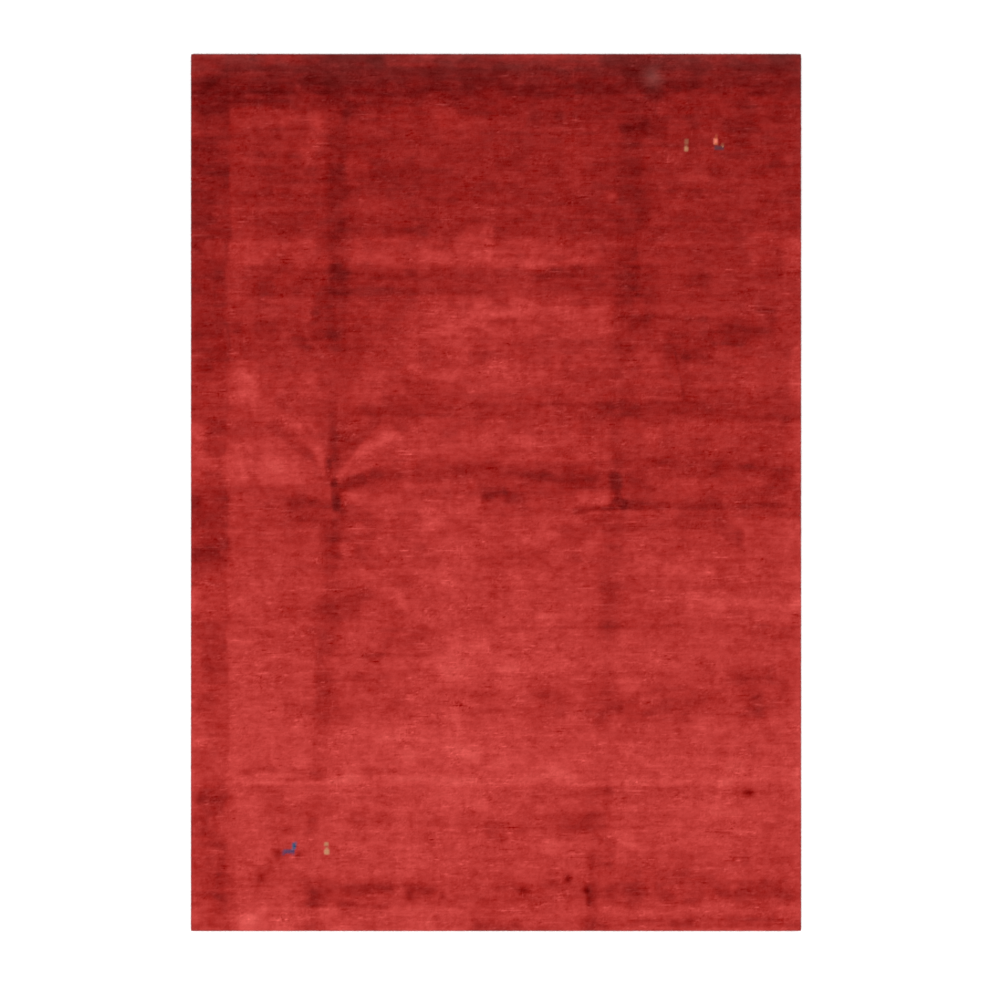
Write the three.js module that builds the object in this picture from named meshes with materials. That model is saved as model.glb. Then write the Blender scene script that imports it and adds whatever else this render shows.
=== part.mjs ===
// A hand-knotted gabbeh rug lying flat: one woven piece of wool, with a deep cut pile on a woven ground.
// Millimetres, +Z up. The origin is on the floor under the middle of the rug, X runs across it and +Y up its
// length, to the darker end. The rug came folded, and the creases of that still show in its pile: two folds
// and a faint one along the length, one across the middle, puckers where they cross, and low bars across it.
import * as THREE from "three";

// Driving sizes of the rug.
const WIDTH = 1600;
const LENGTH = 2300;
const GROUND = 3.5; // thickness of the woven ground under the pile
const PILE = 11.5; // standing height of the cut wool pile
const RIM = 9; // how far in from the edge the pile begins to round over
const UNDERCUT = 2; // the woven edge stands this far in from the pile's edge

// Spacing of the points of the upper face: wide on open pile, close beside a fold.
const OPEN_STEP = 52;
const FOLD_STEP = 12;
const FOLD_REACH = 38;
const RIM_STEPS = 3;

// Folds along the length: the X they pass at the foot (-Y end), the middle and the head of the rug, how wide
// they are, and how deep the pile is pressed in.
const LONG_FOLDS = [
  { start: -698, middle: -700, end: -702, halfWidth: 26, depth: 1.3, sway: 4, swayLength: 900 },
  { start: -480, middle: -419, end: -424, halfWidth: 34, depth: 3.0, sway: 6, swayLength: 760 },
  { start: 261, middle: 316, end: 358, halfWidth: 30, depth: 2.4, sway: 5, swayLength: 830 },
];

// Folds and low bars across the rug: the Y they pass at the left edge, the middle and the right edge. Rise
// is how far the pile stands up on the side towards -Y.
const CROSS_FOLDS = [
  { start: 1018, middle: 1022, end: 1024, halfWidth: 30, depth: 1.5, rise: 0.4, sway: 6, swayLength: 700 },
  { start: 588, middle: 592, end: 590, halfWidth: 24, depth: 1.4, rise: 0.5, sway: 5, swayLength: 620 },
  { start: 226, middle: 214, end: 222, halfWidth: 24, depth: 0.8, rise: 0.3, sway: 6, swayLength: 810 },
  { start: -55, middle: 36, end: -50, halfWidth: 28, depth: 2.6, rise: 1.2, sway: 4, swayLength: 740 },
  { start: -552, middle: -548, end: -546, halfWidth: 28, depth: 1.0, rise: 0.3, sway: 6, swayLength: 590 },
  { start: -774, middle: -772, end: -770, halfWidth: 22, depth: 1.2, rise: 0.4, sway: 4, swayLength: 680 },
  { start: -1034, middle: -1026, end: -1022, halfWidth: 40, depth: 1.1, rise: 0.3, sway: 7, swayLength: 560 },
];

// Puckers where the folds cross: ridges and hollows that run out from a centre, each in its own direction.
const PUCKERS = [
  { x: -415, y: 8, angle: 38, reach: 230, spread: 15, height: 2.1 },
  { x: -415, y: 8, angle: 117, reach: 250, spread: 12, height: 1.9 },
  { x: -415, y: 8, angle: 137, reach: 230, spread: 9, height: -1.5 },
  { x: -415, y: 8, angle: 164, reach: 240, spread: 14, height: 1.4 },
  { x: -415, y: 8, angle: 95, reach: 150, spread: 14, height: -2.0 },
  { x: -415, y: 8, angle: 12, reach: 190, spread: 12, height: -2.2 },
  { x: -415, y: 8, angle: 188, reach: 170, spread: 15, height: -1.4 },
  { x: -415, y: 8, angle: 300, reach: 230, spread: 14, height: 1.5 },
  { x: -415, y: 8, angle: 268, reach: 130, spread: 14, height: -1.6 },
  { x: 318, y: 2, angle: 175, reach: 150, spread: 12, height: 1.4 },
  { x: 318, y: 2, angle: 100, reach: 90, spread: 16, height: -1.9 },
  { x: 318, y: 2, angle: 355, reach: 180, spread: 10, height: -1.6 },
  { x: 318, y: 2, angle: 195, reach: 140, spread: 10, height: -1.5 },
  { x: 318, y: 2, angle: 320, reach: 140, spread: 16, height: 1.0 },
];
const PUCKER_CORE = 16; // the very centre stays flat within about this radius

// Slow unevenness of a hand-woven pile: wave lengths along X and Y, a phase in degrees and a height.
const SWELLS = [
  { alongX: 640, alongY: 470, phase: 20, height: 0.55 },
  { alongX: 410, alongY: -760, phase: 115, height: 0.45 },
  { alongX: -300, alongY: 350, phase: 250, height: 0.3 },
  { alongX: 2400, alongY: 260, phase: 70, height: 0.4 },
];

const halfWidth = WIDTH / 2;
const halfLength = LENGTH / 2;

const bell = (distance, reach) => Math.exp(-((distance / reach) ** 2));
const sine = (distance, waveLength, phase = 0) =>
  Math.sin((2 * Math.PI * distance) / waveLength + THREE.MathUtils.degToRad(phase));

function swell(x, y) {
  return SWELLS.reduce(
    (sum, wave) => sum + wave.height * sine(x / wave.alongX + y / wave.alongY, 1, wave.phase),
    0,
  );
}

// Where a fold runs, this share of the way from the middle (0) to the start (-1) or the end (1) of it.
function courseOf(fold, share) {
  const slant = (fold.end - fold.start) / 2;
  const bend = (fold.end + fold.start) / 2 - fold.middle;
  return fold.middle + slant * share + bend * share * share;
}

function longFold(fold, x, y) {
  const away = x - courseOf(fold, y / halfLength) - fold.sway * sine(y, fold.swayLength);
  return -fold.depth * bell(away, fold.halfWidth);
}

function crossFold(fold, x, y) {
  const away = y - courseOf(fold, x / halfWidth) - fold.sway * sine(x, fold.swayLength);
  const hollow = -fold.depth * bell(away, fold.halfWidth);
  const shoulder = fold.rise * bell(away + 2 * fold.halfWidth, fold.halfWidth);
  return hollow + shoulder;
}

function pucker(ridge, x, y) {
  const across = x - ridge.x;
  const up = y - ridge.y;
  const out = Math.hypot(across, up);
  if (out === 0) return 0;
  const turned = Math.atan2(up, across) - THREE.MathUtils.degToRad(ridge.angle);
  const off = THREE.MathUtils.radToDeg(Math.atan2(Math.sin(turned), Math.cos(turned)));
  const core = 1 - bell(out, PUCKER_CORE);
  return ridge.height * core * bell(out, ridge.reach) * bell(off, ridge.spread);
}

// Height of the pile above its roots, before the rim rounds it over.
function pileHeight(x, y) {
  const folds =
    LONG_FOLDS.reduce((sum, fold) => sum + longFold(fold, x, y), 0) +
    CROSS_FOLDS.reduce((sum, fold) => sum + crossFold(fold, x, y), 0);
  const puckers = PUCKERS.reduce((sum, ridge) => sum + pucker(ridge, x, y), 0);
  return PILE + swell(x, y) + folds + puckers;
}

// How much of the pile's height is left this far out from the middle: all of it, until the rim.
function rimShare(place, half) {
  const out = Math.max(0, Math.abs(place) - (half - RIM)) / RIM;
  return Math.sqrt(Math.max(0, 1 - out * out));
}

const upperFace = (x, y) =>
  GROUND + pileHeight(x, y) * rimShare(x, halfWidth) * rimShare(y, halfLength);

// The lines of a grid from edge to edge: fine at the rim, close beside each fold, wide elsewhere.
function gridLines(half, folds) {
  const inner = half - RIM;
  const beside = (fold, place) => {
    const places = [fold.start, fold.middle, fold.end];
    return Math.max(0, Math.min(...places) - place, place - Math.max(...places));
  };
  const stepAt = (place) => {
    const nearest = Math.min(...folds.map((fold) => beside(fold, place)));
    return OPEN_STEP - (OPEN_STEP - FOLD_STEP) * bell(nearest, FOLD_REACH);
  };
  const marched = [-inner];
  while (marched.at(-1) < inner) marched.push(marched.at(-1) + stepAt(marched.at(-1)));
  const scale = (2 * inner) / (marched.at(-1) + inner);
  const open = marched.map((place) => -inner + (place + inner) * scale);
  const rounding = Array.from(
    { length: RIM_STEPS },
    (_, step) => RIM * Math.sin(((step + 1) * Math.PI) / (2 * RIM_STEPS)),
  );
  const before = rounding.map((out) => -inner - out).reverse();
  return [...before, ...open, ...rounding.map((out) => inner + out)];
}

// One closed solid: the pile's upper face, the drawn-in woven edge below it, and a flat underside.
function rugGeometry() {
  const across = gridLines(halfWidth, LONG_FOLDS);
  const along = gridLines(halfLength, CROSS_FOLDS);
  const points = [];
  const faces = [];
  const columns = across.length;
  const rows = along.length;
  along.forEach((y) => across.forEach((x) => points.push(x, y, upperFace(x, y))));
  const at = (column, row) => row * columns + column;

  for (let row = 0; row < rows - 1; row += 1) {
    for (let column = 0; column < columns - 1; column += 1) {
      const [a, b] = [at(column, row), at(column + 1, row)];
      const [c, d] = [at(column + 1, row + 1), at(column, row + 1)];
      faces.push(a, b, c, a, c, d);
    }
  }

  // The outline, anticlockwise from above.
  const outline = [];
  for (let column = 0; column < columns - 1; column += 1) outline.push(at(column, 0));
  for (let row = 0; row < rows - 1; row += 1) outline.push(at(columns - 1, row));
  for (let column = columns - 1; column > 0; column -= 1) outline.push(at(column, rows - 1));
  for (let row = rows - 1; row > 0; row -= 1) outline.push(at(0, row));

  const floorStart = points.length / 3;
  outline.forEach((upper) => {
    const x = points[3 * upper] * (1 - UNDERCUT / halfWidth);
    const y = points[3 * upper + 1] * (1 - UNDERCUT / halfLength);
    points.push(x, y, 0);
  });
  const middle = points.length / 3;
  points.push(0, 0, 0);
  outline.forEach((upper, index) => {
    const next = (index + 1) % outline.length;
    const [lower, lowerNext] = [floorStart + index, floorStart + next];
    faces.push(upper, lower, lowerNext, upper, lowerNext, outline[next]);
    faces.push(middle, lowerNext, lower);
  });

  const geometry = new THREE.BufferGeometry();
  geometry.setAttribute("position", new THREE.Float32BufferAttribute(points, 3));
  geometry.setIndex(faces);
  geometry.computeVertexNormals();
  return geometry;
}

const wool = new THREE.MeshStandardMaterial({ color: 0xa82e2a, roughness: 0.95, metalness: 0 });

const rug = new THREE.Mesh(rugGeometry(), wool);
rug.name = "rug";

const part = new THREE.Group();
part.add(rug);

export default part;
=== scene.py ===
"""A hand-knotted gabbeh rug, lying flat on a pale floor and seen from straight above.

The pile is a mesh with one point for each knot, in bands along the rug. Locks of wool stand out round its
rim, and a woven ground carries it. Metres, in the frame of the CAD: X across the rug, +Y along it to the
darker end.
"""
import math
from typing import NamedTuple

import bpy
import numpy as np
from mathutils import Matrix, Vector


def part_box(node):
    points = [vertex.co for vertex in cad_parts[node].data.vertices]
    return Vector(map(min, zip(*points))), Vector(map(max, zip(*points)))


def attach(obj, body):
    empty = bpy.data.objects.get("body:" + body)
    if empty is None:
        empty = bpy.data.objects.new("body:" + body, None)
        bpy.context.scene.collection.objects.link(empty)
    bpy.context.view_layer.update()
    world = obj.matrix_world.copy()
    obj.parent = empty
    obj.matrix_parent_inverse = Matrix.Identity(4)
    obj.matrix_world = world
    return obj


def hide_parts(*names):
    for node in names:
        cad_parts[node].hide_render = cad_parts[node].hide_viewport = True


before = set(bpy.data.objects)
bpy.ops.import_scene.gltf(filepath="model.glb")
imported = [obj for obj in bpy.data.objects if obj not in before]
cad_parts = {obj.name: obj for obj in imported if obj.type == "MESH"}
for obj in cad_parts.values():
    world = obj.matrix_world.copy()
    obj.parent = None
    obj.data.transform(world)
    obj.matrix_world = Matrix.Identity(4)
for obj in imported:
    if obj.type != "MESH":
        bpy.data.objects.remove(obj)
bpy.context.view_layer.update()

# Driving sizes of the rug, the same as in the CAD.
RUG_LOW, RUG_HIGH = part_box("rug")
WIDTH = RUG_HIGH[0] - RUG_LOW[0]
LENGTH = RUG_HIGH[1] - RUG_LOW[1]
HALF_WIDTH = WIDTH / 2
HALF_LENGTH = LENGTH / 2
GROUND = 0.0035  # thickness of the woven ground
PILE = 0.0115  # standing height of the cut pile
RIM = 0.009  # how far in from the edge the pile begins to round over
UNDERCUT = 0.002  # the woven edge stands this far in from the pile's edge
KNOT = 0.0029  # from one knot to the next
RIM_STEPS = 5
BANDS = 5
SEED = 41


class Fold(NamedTuple):
    """A crease of the folded rug: where it runs at its start, middle and end, its size and its sway."""

    start: float
    middle: float
    end: float
    half_width: float
    depth: float
    rise: float
    sway: float
    sway_length: float


# Folds along the rug, from the foot to the head, and folds and low bars across it, from left to right.
LONG_FOLDS = (
    Fold(-0.698, -0.700, -0.702, 0.026, 0.0013, 0.0, 0.004, 0.900),
    Fold(-0.480, -0.419, -0.424, 0.034, 0.0030, 0.0, 0.006, 0.760),
    Fold(0.261, 0.316, 0.358, 0.030, 0.0024, 0.0, 0.005, 0.830),
)
CROSS_FOLDS = (
    Fold(1.018, 1.022, 1.024, 0.030, 0.0015, 0.0004, 0.006, 0.700),
    Fold(0.588, 0.592, 0.590, 0.024, 0.0014, 0.0005, 0.005, 0.620),
    Fold(0.226, 0.214, 0.222, 0.024, 0.0008, 0.0003, 0.006, 0.810),
    Fold(-0.055, 0.036, -0.050, 0.028, 0.0026, 0.0012, 0.004, 0.740),
    Fold(-0.552, -0.548, -0.546, 0.028, 0.0010, 0.0003, 0.006, 0.590),
    Fold(-0.774, -0.772, -0.770, 0.022, 0.0012, 0.0004, 0.004, 0.680),
    Fold(-1.034, -1.026, -1.022, 0.040, 0.0011, 0.0003, 0.007, 0.560),
)


class Pucker(NamedTuple):
    """A ridge or hollow that runs out from where two folds cross, at an angle in degrees."""

    x: float
    y: float
    angle: float
    reach: float
    spread: float
    height: float


PUCKERS = (
    Pucker(-0.415, 0.008, 38, 0.230, 15, 0.0021),
    Pucker(-0.415, 0.008, 117, 0.250, 12, 0.0019),
    Pucker(-0.415, 0.008, 137, 0.230, 9, -0.0015),
    Pucker(-0.415, 0.008, 164, 0.240, 14, 0.0014),
    Pucker(-0.415, 0.008, 95, 0.150, 14, -0.0020),
    Pucker(-0.415, 0.008, 12, 0.190, 12, -0.0022),
    Pucker(-0.415, 0.008, 188, 0.170, 15, -0.0014),
    Pucker(-0.415, 0.008, 300, 0.230, 14, 0.0015),
    Pucker(-0.415, 0.008, 268, 0.130, 14, -0.0016),
    Pucker(0.318, 0.002, 175, 0.150, 12, 0.0014),
    Pucker(0.318, 0.002, 100, 0.090, 16, -0.0019),
    Pucker(0.318, 0.002, 355, 0.180, 10, -0.0016),
    Pucker(0.318, 0.002, 195, 0.140, 10, -0.0015),
    Pucker(0.318, 0.002, 320, 0.140, 16, 0.0010),
)
PUCKER_CORE = 0.016  # the very centre stays flat within about this radius


class Swell(NamedTuple):
    """A slow wave of the pile's height: its lengths along X and Y, its phase in degrees and its height."""

    along_x: float
    along_y: float
    phase: float
    height: float


SWELLS = (
    Swell(0.640, 0.470, 20, 0.00055),
    Swell(0.410, -0.760, 115, 0.00045),
    Swell(-0.300, 0.350, 250, 0.0003),
    Swell(2.400, 0.260, 70, 0.0004),
)


def bell(distance, reach):
    return np.exp(-((distance / reach) ** 2))


def sine(distance, wave_length, phase=0.0):
    return np.sin(2 * math.pi * distance / wave_length + math.radians(phase))


def course_of(fold, share):
    """Where a fold runs, this share of the way from its middle (0) to its start (-1) or its end (1)."""
    slant = (fold.end - fold.start) / 2
    bend = (fold.end + fold.start) / 2 - fold.middle
    return fold.middle + slant * share + bend * share * share


def fold_height(fold, across, along, half):
    away = across - course_of(fold, along / half) - fold.sway * sine(along, fold.sway_length)
    shoulder = fold.rise * bell(away + 2 * fold.half_width, fold.half_width)
    return shoulder - fold.depth * bell(away, fold.half_width)


def pucker_height(ridge, x, y):
    out = np.hypot(x - ridge.x, y - ridge.y)
    turned = np.arctan2(y - ridge.y, x - ridge.x) - math.radians(ridge.angle)
    off = np.degrees(np.arctan2(np.sin(turned), np.cos(turned)))
    core = 1 - bell(out, PUCKER_CORE)
    return ridge.height * core * bell(out, ridge.reach) * bell(off, ridge.spread)


def pile_height(x, y):
    """Height of the pile above its roots, before the rim rounds it over."""
    height = np.full(np.shape(x), PILE)
    for wave in SWELLS:
        height += wave.height * sine(x / wave.along_x + y / wave.along_y, 1.0, wave.phase)
    for fold in LONG_FOLDS:
        height += fold_height(fold, x, y, HALF_LENGTH)
    for fold in CROSS_FOLDS:
        height += fold_height(fold, y, x, HALF_WIDTH)
    for ridge in PUCKERS:
        height += pucker_height(ridge, x, y)
    return height


def rim_share(place, half):
    """How much of the pile's height is left this far out from the middle: all of it, until the rim."""
    out = np.clip(np.abs(place) - (half - RIM), 0, RIM) / RIM
    return np.sqrt(np.clip(1 - out * out, 0, 1))


# The knots: even on the open pile, and at even turns of the rounding at the rim.
def knot_lines(half):
    inner = half - RIM
    open_pile = np.linspace(-inner, inner, round(2 * inner / KNOT) + 1)
    turns = np.linspace(0, math.pi / 2, RIM_STEPS + 1)[1:]
    rounding = inner + RIM * np.sin(turns)
    rounding[-1] = half
    return np.concatenate([-rounding[::-1], open_pile, rounding])


KNOTS_ACROSS = knot_lines(HALF_WIDTH)
KNOTS_ALONG = knot_lines(HALF_LENGTH)
X, Y = np.meshgrid(KNOTS_ACROSS, KNOTS_ALONG)
ROWS, COLUMNS = X.shape
rng = np.random.default_rng(SEED)


def mottle(across, along):
    """Soft random patches over the knots, about this wide and this long, with a spread of one."""
    spectrum = np.fft.rfft2(rng.standard_normal((ROWS, COLUMNS)))
    wave_x = np.fft.rfftfreq(COLUMNS)[None, :] * across / KNOT
    wave_y = np.fft.fftfreq(ROWS)[:, None] * along / KNOT
    field = np.fft.irfft2(spectrum * np.exp(-2 * (wave_x**2 + wave_y**2)), s=(ROWS, COLUMNS))
    return field / field.std()


# The dye, with painted light and shade laid into it. Lightness is told in points out of 255, as the eye
# sees it.
DARKEST = 30.0
MIDDLE = 72.0
LIGHTEST = 112.0


class LotAndShade(NamedTuple):
    """How light the wool is at this place along the rug: its dye lot, and painted light that falls off from
    the foot to the head.
    """

    along: float
    lightness: float


DYE_LOTS_AND_SHADE = (
    LotAndShade(1.15, 51),
    LotAndShade(0.95, 58),
    LotAndShade(0.80, 58),
    LotAndShade(0.45, 65),
    LotAndShade(0.10, 70),
    LotAndShade(-0.30, 78),
    LotAndShade(-0.66, 87),
    LotAndShade(-0.90, 84),
    LotAndShade(-1.15, 82),
)


class Bar(NamedTuple):
    """A patch with soft sides where the wool is lighter or darker than its lot by some points."""

    left: float
    right: float
    foot: float
    head: float
    soft: float
    lift: float


# Partly patches of dye, partly painted light and shade: the long bars across the rug lie along its folds,
# lit on one side and shaded on the other.
BARS = (
    # The dark head of the rug.
    Bar(-0.82, 0.82, 1.043, 1.17, 0.012, -8),
    Bar(-0.52, -0.39, 1.020, 1.120, 0.020, -5),
    Bar(-0.82, -0.71, 0.995, 1.050, 0.015, -8),
    Bar(-0.70, -0.46, 0.950, 1.010, 0.012, 6),
    Bar(-0.50, -0.47, 0.870, 0.990, 0.014, 5),
    # The light and dark bars a quarter of the way down: painted light and shade on the two sides of a fold.
    Bar(-0.70, 0.27, 0.597, 0.665, 0.009, 9),
    Bar(0.40, 0.51, 0.600, 0.660, 0.012, 4),
    Bar(0.66, 0.82, 0.600, 0.670, 0.012, 7),
    Bar(-0.37, -0.25, 0.597, 0.650, 0.012, 5),
    Bar(-0.04, 0.00, 0.597, 0.700, 0.012, 5),
    Bar(0.06, 0.17, 0.597, 0.650, 0.012, 5),
    Bar(-0.70, 0.39, 0.515, 0.592, 0.010, -7),
    Bar(-0.19, 0.31, 0.400, 0.513, 0.016, 5),
    Bar(-0.45, 0.50, 0.373, 0.388, 0.004, -3),
    # Across the middle.
    Bar(-0.07, 0.17, 0.270, 0.350, 0.015, 6),
    Bar(0.38, 0.82, 0.270, 0.350, 0.015, 6),
    Bar(-0.36, 0.82, 0.195, 0.243, 0.012, -7),
    Bar(-0.25, 0.30, 0.085, 0.165, 0.014, 7),
    Bar(-0.21, 0.28, 0.030, 0.075, 0.010, -8),
    Bar(-0.71, -0.51, 0.046, 0.098, 0.016, 8),
    # Below the middle.
    Bar(0.535, 0.82, -0.300, -0.270, 0.010, 6),
    Bar(-0.147, 0.194, -0.479, -0.426, 0.014, 6),
    Bar(-0.50, 0.71, -0.584, -0.513, 0.012, -6),
    Bar(-0.475, -0.410, -0.575, -0.515, 0.012, -9),
    Bar(-0.05, 0.01, -0.580, -0.520, 0.012, -4),
    Bar(0.27, 0.38, -0.580, -0.520, 0.012, -5),
    Bar(-0.70, 0.82, -0.766, -0.735, 0.006, 7),
    Bar(-0.82, 0.82, -0.812, -0.772, 0.009, -6),
    # The foot.
    Bar(0.17, 0.286, -0.898, -0.833, 0.014, -9),
    Bar(-0.50, -0.12, -1.083, -1.016, 0.012, -9),
    Bar(-0.12, 0.82, -1.083, -1.016, 0.014, -6),
    Bar(-0.68, -0.54, -1.160, -1.085, 0.010, 7),
    Bar(-0.50, -0.07, -1.160, -1.085, 0.010, 6),
    Bar(0.27, 0.82, -1.106, -1.088, 0.005, 6),
    Bar(0.25, 0.82, -1.138, -1.118, 0.006, -7),
    # Strips along the left side, mostly painted shade where the pile leans beside the fold there.
    Bar(-0.82, -0.701, -1.17, 1.17, 0.006, -8),
    Bar(-0.82, -0.705, 0.505, 0.590, 0.012, -6),
    Bar(-0.82, -0.705, 0.405, 0.473, 0.012, -6),
    Bar(-0.82, -0.695, -0.100, -0.007, 0.012, -7),
    Bar(-0.82, -0.685, -0.177, -0.138, 0.010, -7),
    Bar(-0.82, -0.705, -0.466, -0.334, 0.014, -7),
    Bar(-0.82, -0.700, -1.082, -0.767, 0.020, -7),
    Bar(-0.70, -0.63, 0.430, 1.010, 0.012, 5),
    # Patches in the dark head.
    Bar(-0.82, -0.715, 1.085, 1.170, 0.025, 14),
    Bar(-0.82, -0.775, 0.930, 1.090, 0.020, 8),
    Bar(-0.60, -0.50, 1.125, 1.170, 0.012, 7),
    Bar(-0.29, -0.16, 1.115, 1.170, 0.014, 8),
    Bar(0.02, 0.27, 1.120, 1.170, 0.014, 9),
    Bar(0.55, 0.72, 1.130, 1.170, 0.010, 5),
    Bar(-0.705, -0.53, 1.015, 1.058, 0.012, -8),
    Bar(-0.405, -0.20, 1.012, 1.055, 0.014, -5),
    Bar(-0.20, 0.35, 1.000, 1.060, 0.016, -4),
    Bar(0.09, 0.175, 0.960, 1.050, 0.016, -4),
    Bar(-0.405, -0.365, 0.965, 1.030, 0.012, -5),
    Bar(0.385, 0.455, 0.935, 0.980, 0.014, -8),
    Bar(0.385, 0.425, 0.980, 1.060, 0.012, -6),
    Bar(0.50, 0.535, 0.940, 1.060, 0.012, -5),
    Bar(0.60, 0.67, 0.865, 1.030, 0.020, -4),
    Bar(0.69, 0.745, 0.830, 0.955, 0.020, -5),
    Bar(-0.165, -0.035, 0.930, 0.995, 0.020, 7),
    Bar(-0.38, -0.345, 0.835, 0.880, 0.012, 9),
    Bar(-0.33, -0.20, 0.770, 0.870, 0.020, -4),
    Bar(0.17, 0.22, 0.810, 0.950, 0.020, 6),
    Bar(0.49, 0.56, 0.810, 0.840, 0.012, 6),
    Bar(-0.735, -0.69, 0.700, 0.780, 0.015, 7),
    Bar(-0.36, -0.275, 0.725, 0.770, 0.015, 6),
    Bar(0.435, 0.49, 0.735, 0.770, 0.012, 9),
    Bar(0.22, 0.31, 0.680, 0.750, 0.020, -5),
    Bar(0.37, 0.405, 0.690, 0.800, 0.015, -5),
    Bar(-0.25, -0.175, 0.660, 0.740, 0.020, -5),
    Bar(-0.77, -0.715, 0.620, 0.670, 0.015, 9),
    Bar(-0.475, -0.405, 0.620, 0.670, 0.012, -7),
    Bar(-0.085, 0.00, 0.655, 0.700, 0.012, 9),
    Bar(0.67, 0.715, 0.665, 0.710, 0.015, 6),
    Bar(0.75, 0.82, 0.590, 0.660, 0.012, 10),
    # Patches below the light bar.
    Bar(-0.21, 0.10, 0.400, 0.640, 0.020, 8),
    Bar(-0.16, -0.07, 0.360, 0.475, 0.020, 8),
    Bar(-0.06, 0.13, 0.465, 0.505, 0.012, 8),
    Bar(0.035, 0.08, 0.475, 0.550, 0.015, 7),
    Bar(0.06, 0.13, 0.585, 0.610, 0.010, 7),
    Bar(0.10, 0.30, 0.420, 0.500, 0.020, 6),
    Bar(-0.03, 0.05, 0.430, 0.455, 0.008, -8),
    Bar(-0.735, -0.65, 0.510, 0.560, 0.012, 7),
    Bar(0.50, 0.555, 0.535, 0.595, 0.015, -7),
    Bar(0.70, 0.745, 0.555, 0.590, 0.012, -7),
    Bar(-0.48, -0.43, 0.440, 0.530, 0.015, -10),
    Bar(-0.43, -0.38, 0.490, 0.525, 0.012, -6),
    Bar(-0.705, -0.665, 0.415, 0.455, 0.010, -10),
    Bar(-0.63, -0.565, 0.395, 0.455, 0.015, -6),
    Bar(-0.48, -0.405, 0.385, 0.425, 0.014, -10),
    Bar(0.355, 0.405, 0.395, 0.460, 0.015, -9),
    Bar(0.44, 0.57, 0.340, 0.420, 0.015, -10),
    Bar(0.57, 0.735, 0.395, 0.450, 0.015, -10),
    # Patches above the middle.
    Bar(-0.24, -0.20, 0.315, 0.465, 0.012, 11),
    Bar(-0.315, -0.265, 0.325, 0.355, 0.012, 8),
    Bar(-0.17, 0.12, 0.210, 0.400, 0.020, 5),
    Bar(-0.13, -0.05, 0.290, 0.360, 0.020, 6),
    Bar(-0.08, -0.03, 0.330, 0.360, 0.008, -9),
    Bar(-0.02, 0.07, 0.300, 0.385, 0.015, 6),
    Bar(0.195, 0.27, 0.320, 0.365, 0.014, 7),
    Bar(0.43, 0.65, 0.240, 0.330, 0.020, -5),
    Bar(-0.38, -0.305, 0.235, 0.310, 0.018, 10),
    Bar(-0.62, -0.47, 0.265, 0.315, 0.016, 9),
    Bar(-0.69, -0.625, 0.200, 0.345, 0.020, 14),
    Bar(-0.79, -0.69, 0.200, 0.300, 0.020, 8),
    Bar(-0.61, -0.53, 0.190, 0.225, 0.014, 11),
    Bar(-0.34, -0.24, 0.165, 0.200, 0.012, -5),
    Bar(-0.44, -0.39, 0.140, 0.215, 0.020, -5),
    Bar(-0.19, -0.15, 0.145, 0.190, 0.010, 6),
    Bar(0.195, 0.22, 0.150, 0.200, 0.008, 8),
    Bar(0.38, 0.43, 0.130, 0.170, 0.012, 9),
    Bar(0.51, 0.55, 0.100, 0.145, 0.014, -8),
    Bar(0.15, 0.215, 0.085, 0.115, 0.010, -6),
    Bar(0.775, 0.82, 0.090, 0.390, 0.015, 9),
    Bar(-0.82, -0.765, 0.030, 0.200, 0.014, 13),
    Bar(-0.72, -0.65, 0.035, 0.095, 0.016, 12),
    Bar(-0.62, -0.545, 0.020, 0.140, 0.016, 8),
    Bar(-0.545, -0.48, 0.020, 0.085, 0.016, 8),
    # The dark band across the middle, right of the left pucker: painted shade along the middle fold.
    Bar(-0.330, -0.200, 0.032, 0.068, 0.010, -8),
    Bar(-0.045, 0.03, -0.015, 0.025, 0.014, -16),
    Bar(0.02, 0.08, -0.040, 0.000, 0.014, -9),
    Bar(0.08, 0.15, 0.025, 0.060, 0.012, -6),
    Bar(0.15, 0.275, 0.000, 0.050, 0.014, -9),
    Bar(0.275, 0.405, 0.008, 0.062, 0.014, -11),
    Bar(0.41, 0.77, 0.030, 0.088, 0.014, -10),
    Bar(0.48, 0.55, -0.065, -0.030, 0.014, -10),
    Bar(0.63, 0.745, -0.055, 0.010, 0.016, -7),
    # Painted shade round the foot of the left pucker.
    Bar(-0.56, -0.45, -0.070, 0.000, 0.018, -7),
    Bar(-0.48, -0.445, -0.100, -0.050, 0.012, -6),
    Bar(-0.46, -0.40, -0.200, -0.110, 0.020, -8),
    Bar(-0.365, -0.32, -0.150, -0.110, 0.012, -8),
    Bar(-0.80, -0.69, -0.220, -0.120, 0.020, -6),
    # Patches below the middle.
    Bar(-0.28, -0.04, -0.055, -0.010, 0.012, 7),
    Bar(-0.20, -0.14, -0.090, -0.045, 0.015, 8),
    Bar(0.08, 0.22, -0.085, -0.050, 0.014, 6),
    Bar(0.12, 0.165, -0.125, -0.095, 0.012, 8),
    Bar(-0.175, -0.06, -0.170, -0.130, 0.015, 10),
    Bar(-0.21, -0.11, -0.245, -0.205, 0.012, 10),
    Bar(-0.15, -0.05, -0.285, -0.170, 0.020, 6),
    Bar(-0.15, -0.11, -0.345, -0.300, 0.012, 7),
    Bar(0.04, 0.085, -0.320, -0.200, 0.016, 10),
    Bar(0.10, 0.16, -0.355, -0.300, 0.014, 10),
    Bar(0.02, 0.10, -0.390, -0.370, 0.010, 9),
    Bar(0.35, 0.40, -0.150, -0.120, 0.010, 9),
    Bar(0.36, 0.43, -0.210, -0.170, 0.014, 8),
    Bar(0.435, 0.57, -0.235, -0.195, 0.014, 10),
    Bar(0.505, 0.60, -0.330, -0.255, 0.016, 8),
    Bar(0.75, 0.82, -0.250, -0.080, 0.020, 6),
    Bar(0.765, 0.82, -0.310, -0.255, 0.012, 7),
    Bar(0.295, 0.335, -0.170, -0.140, 0.010, -8),
    Bar(0.18, 0.225, -0.200, -0.160, 0.012, -7),
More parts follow.
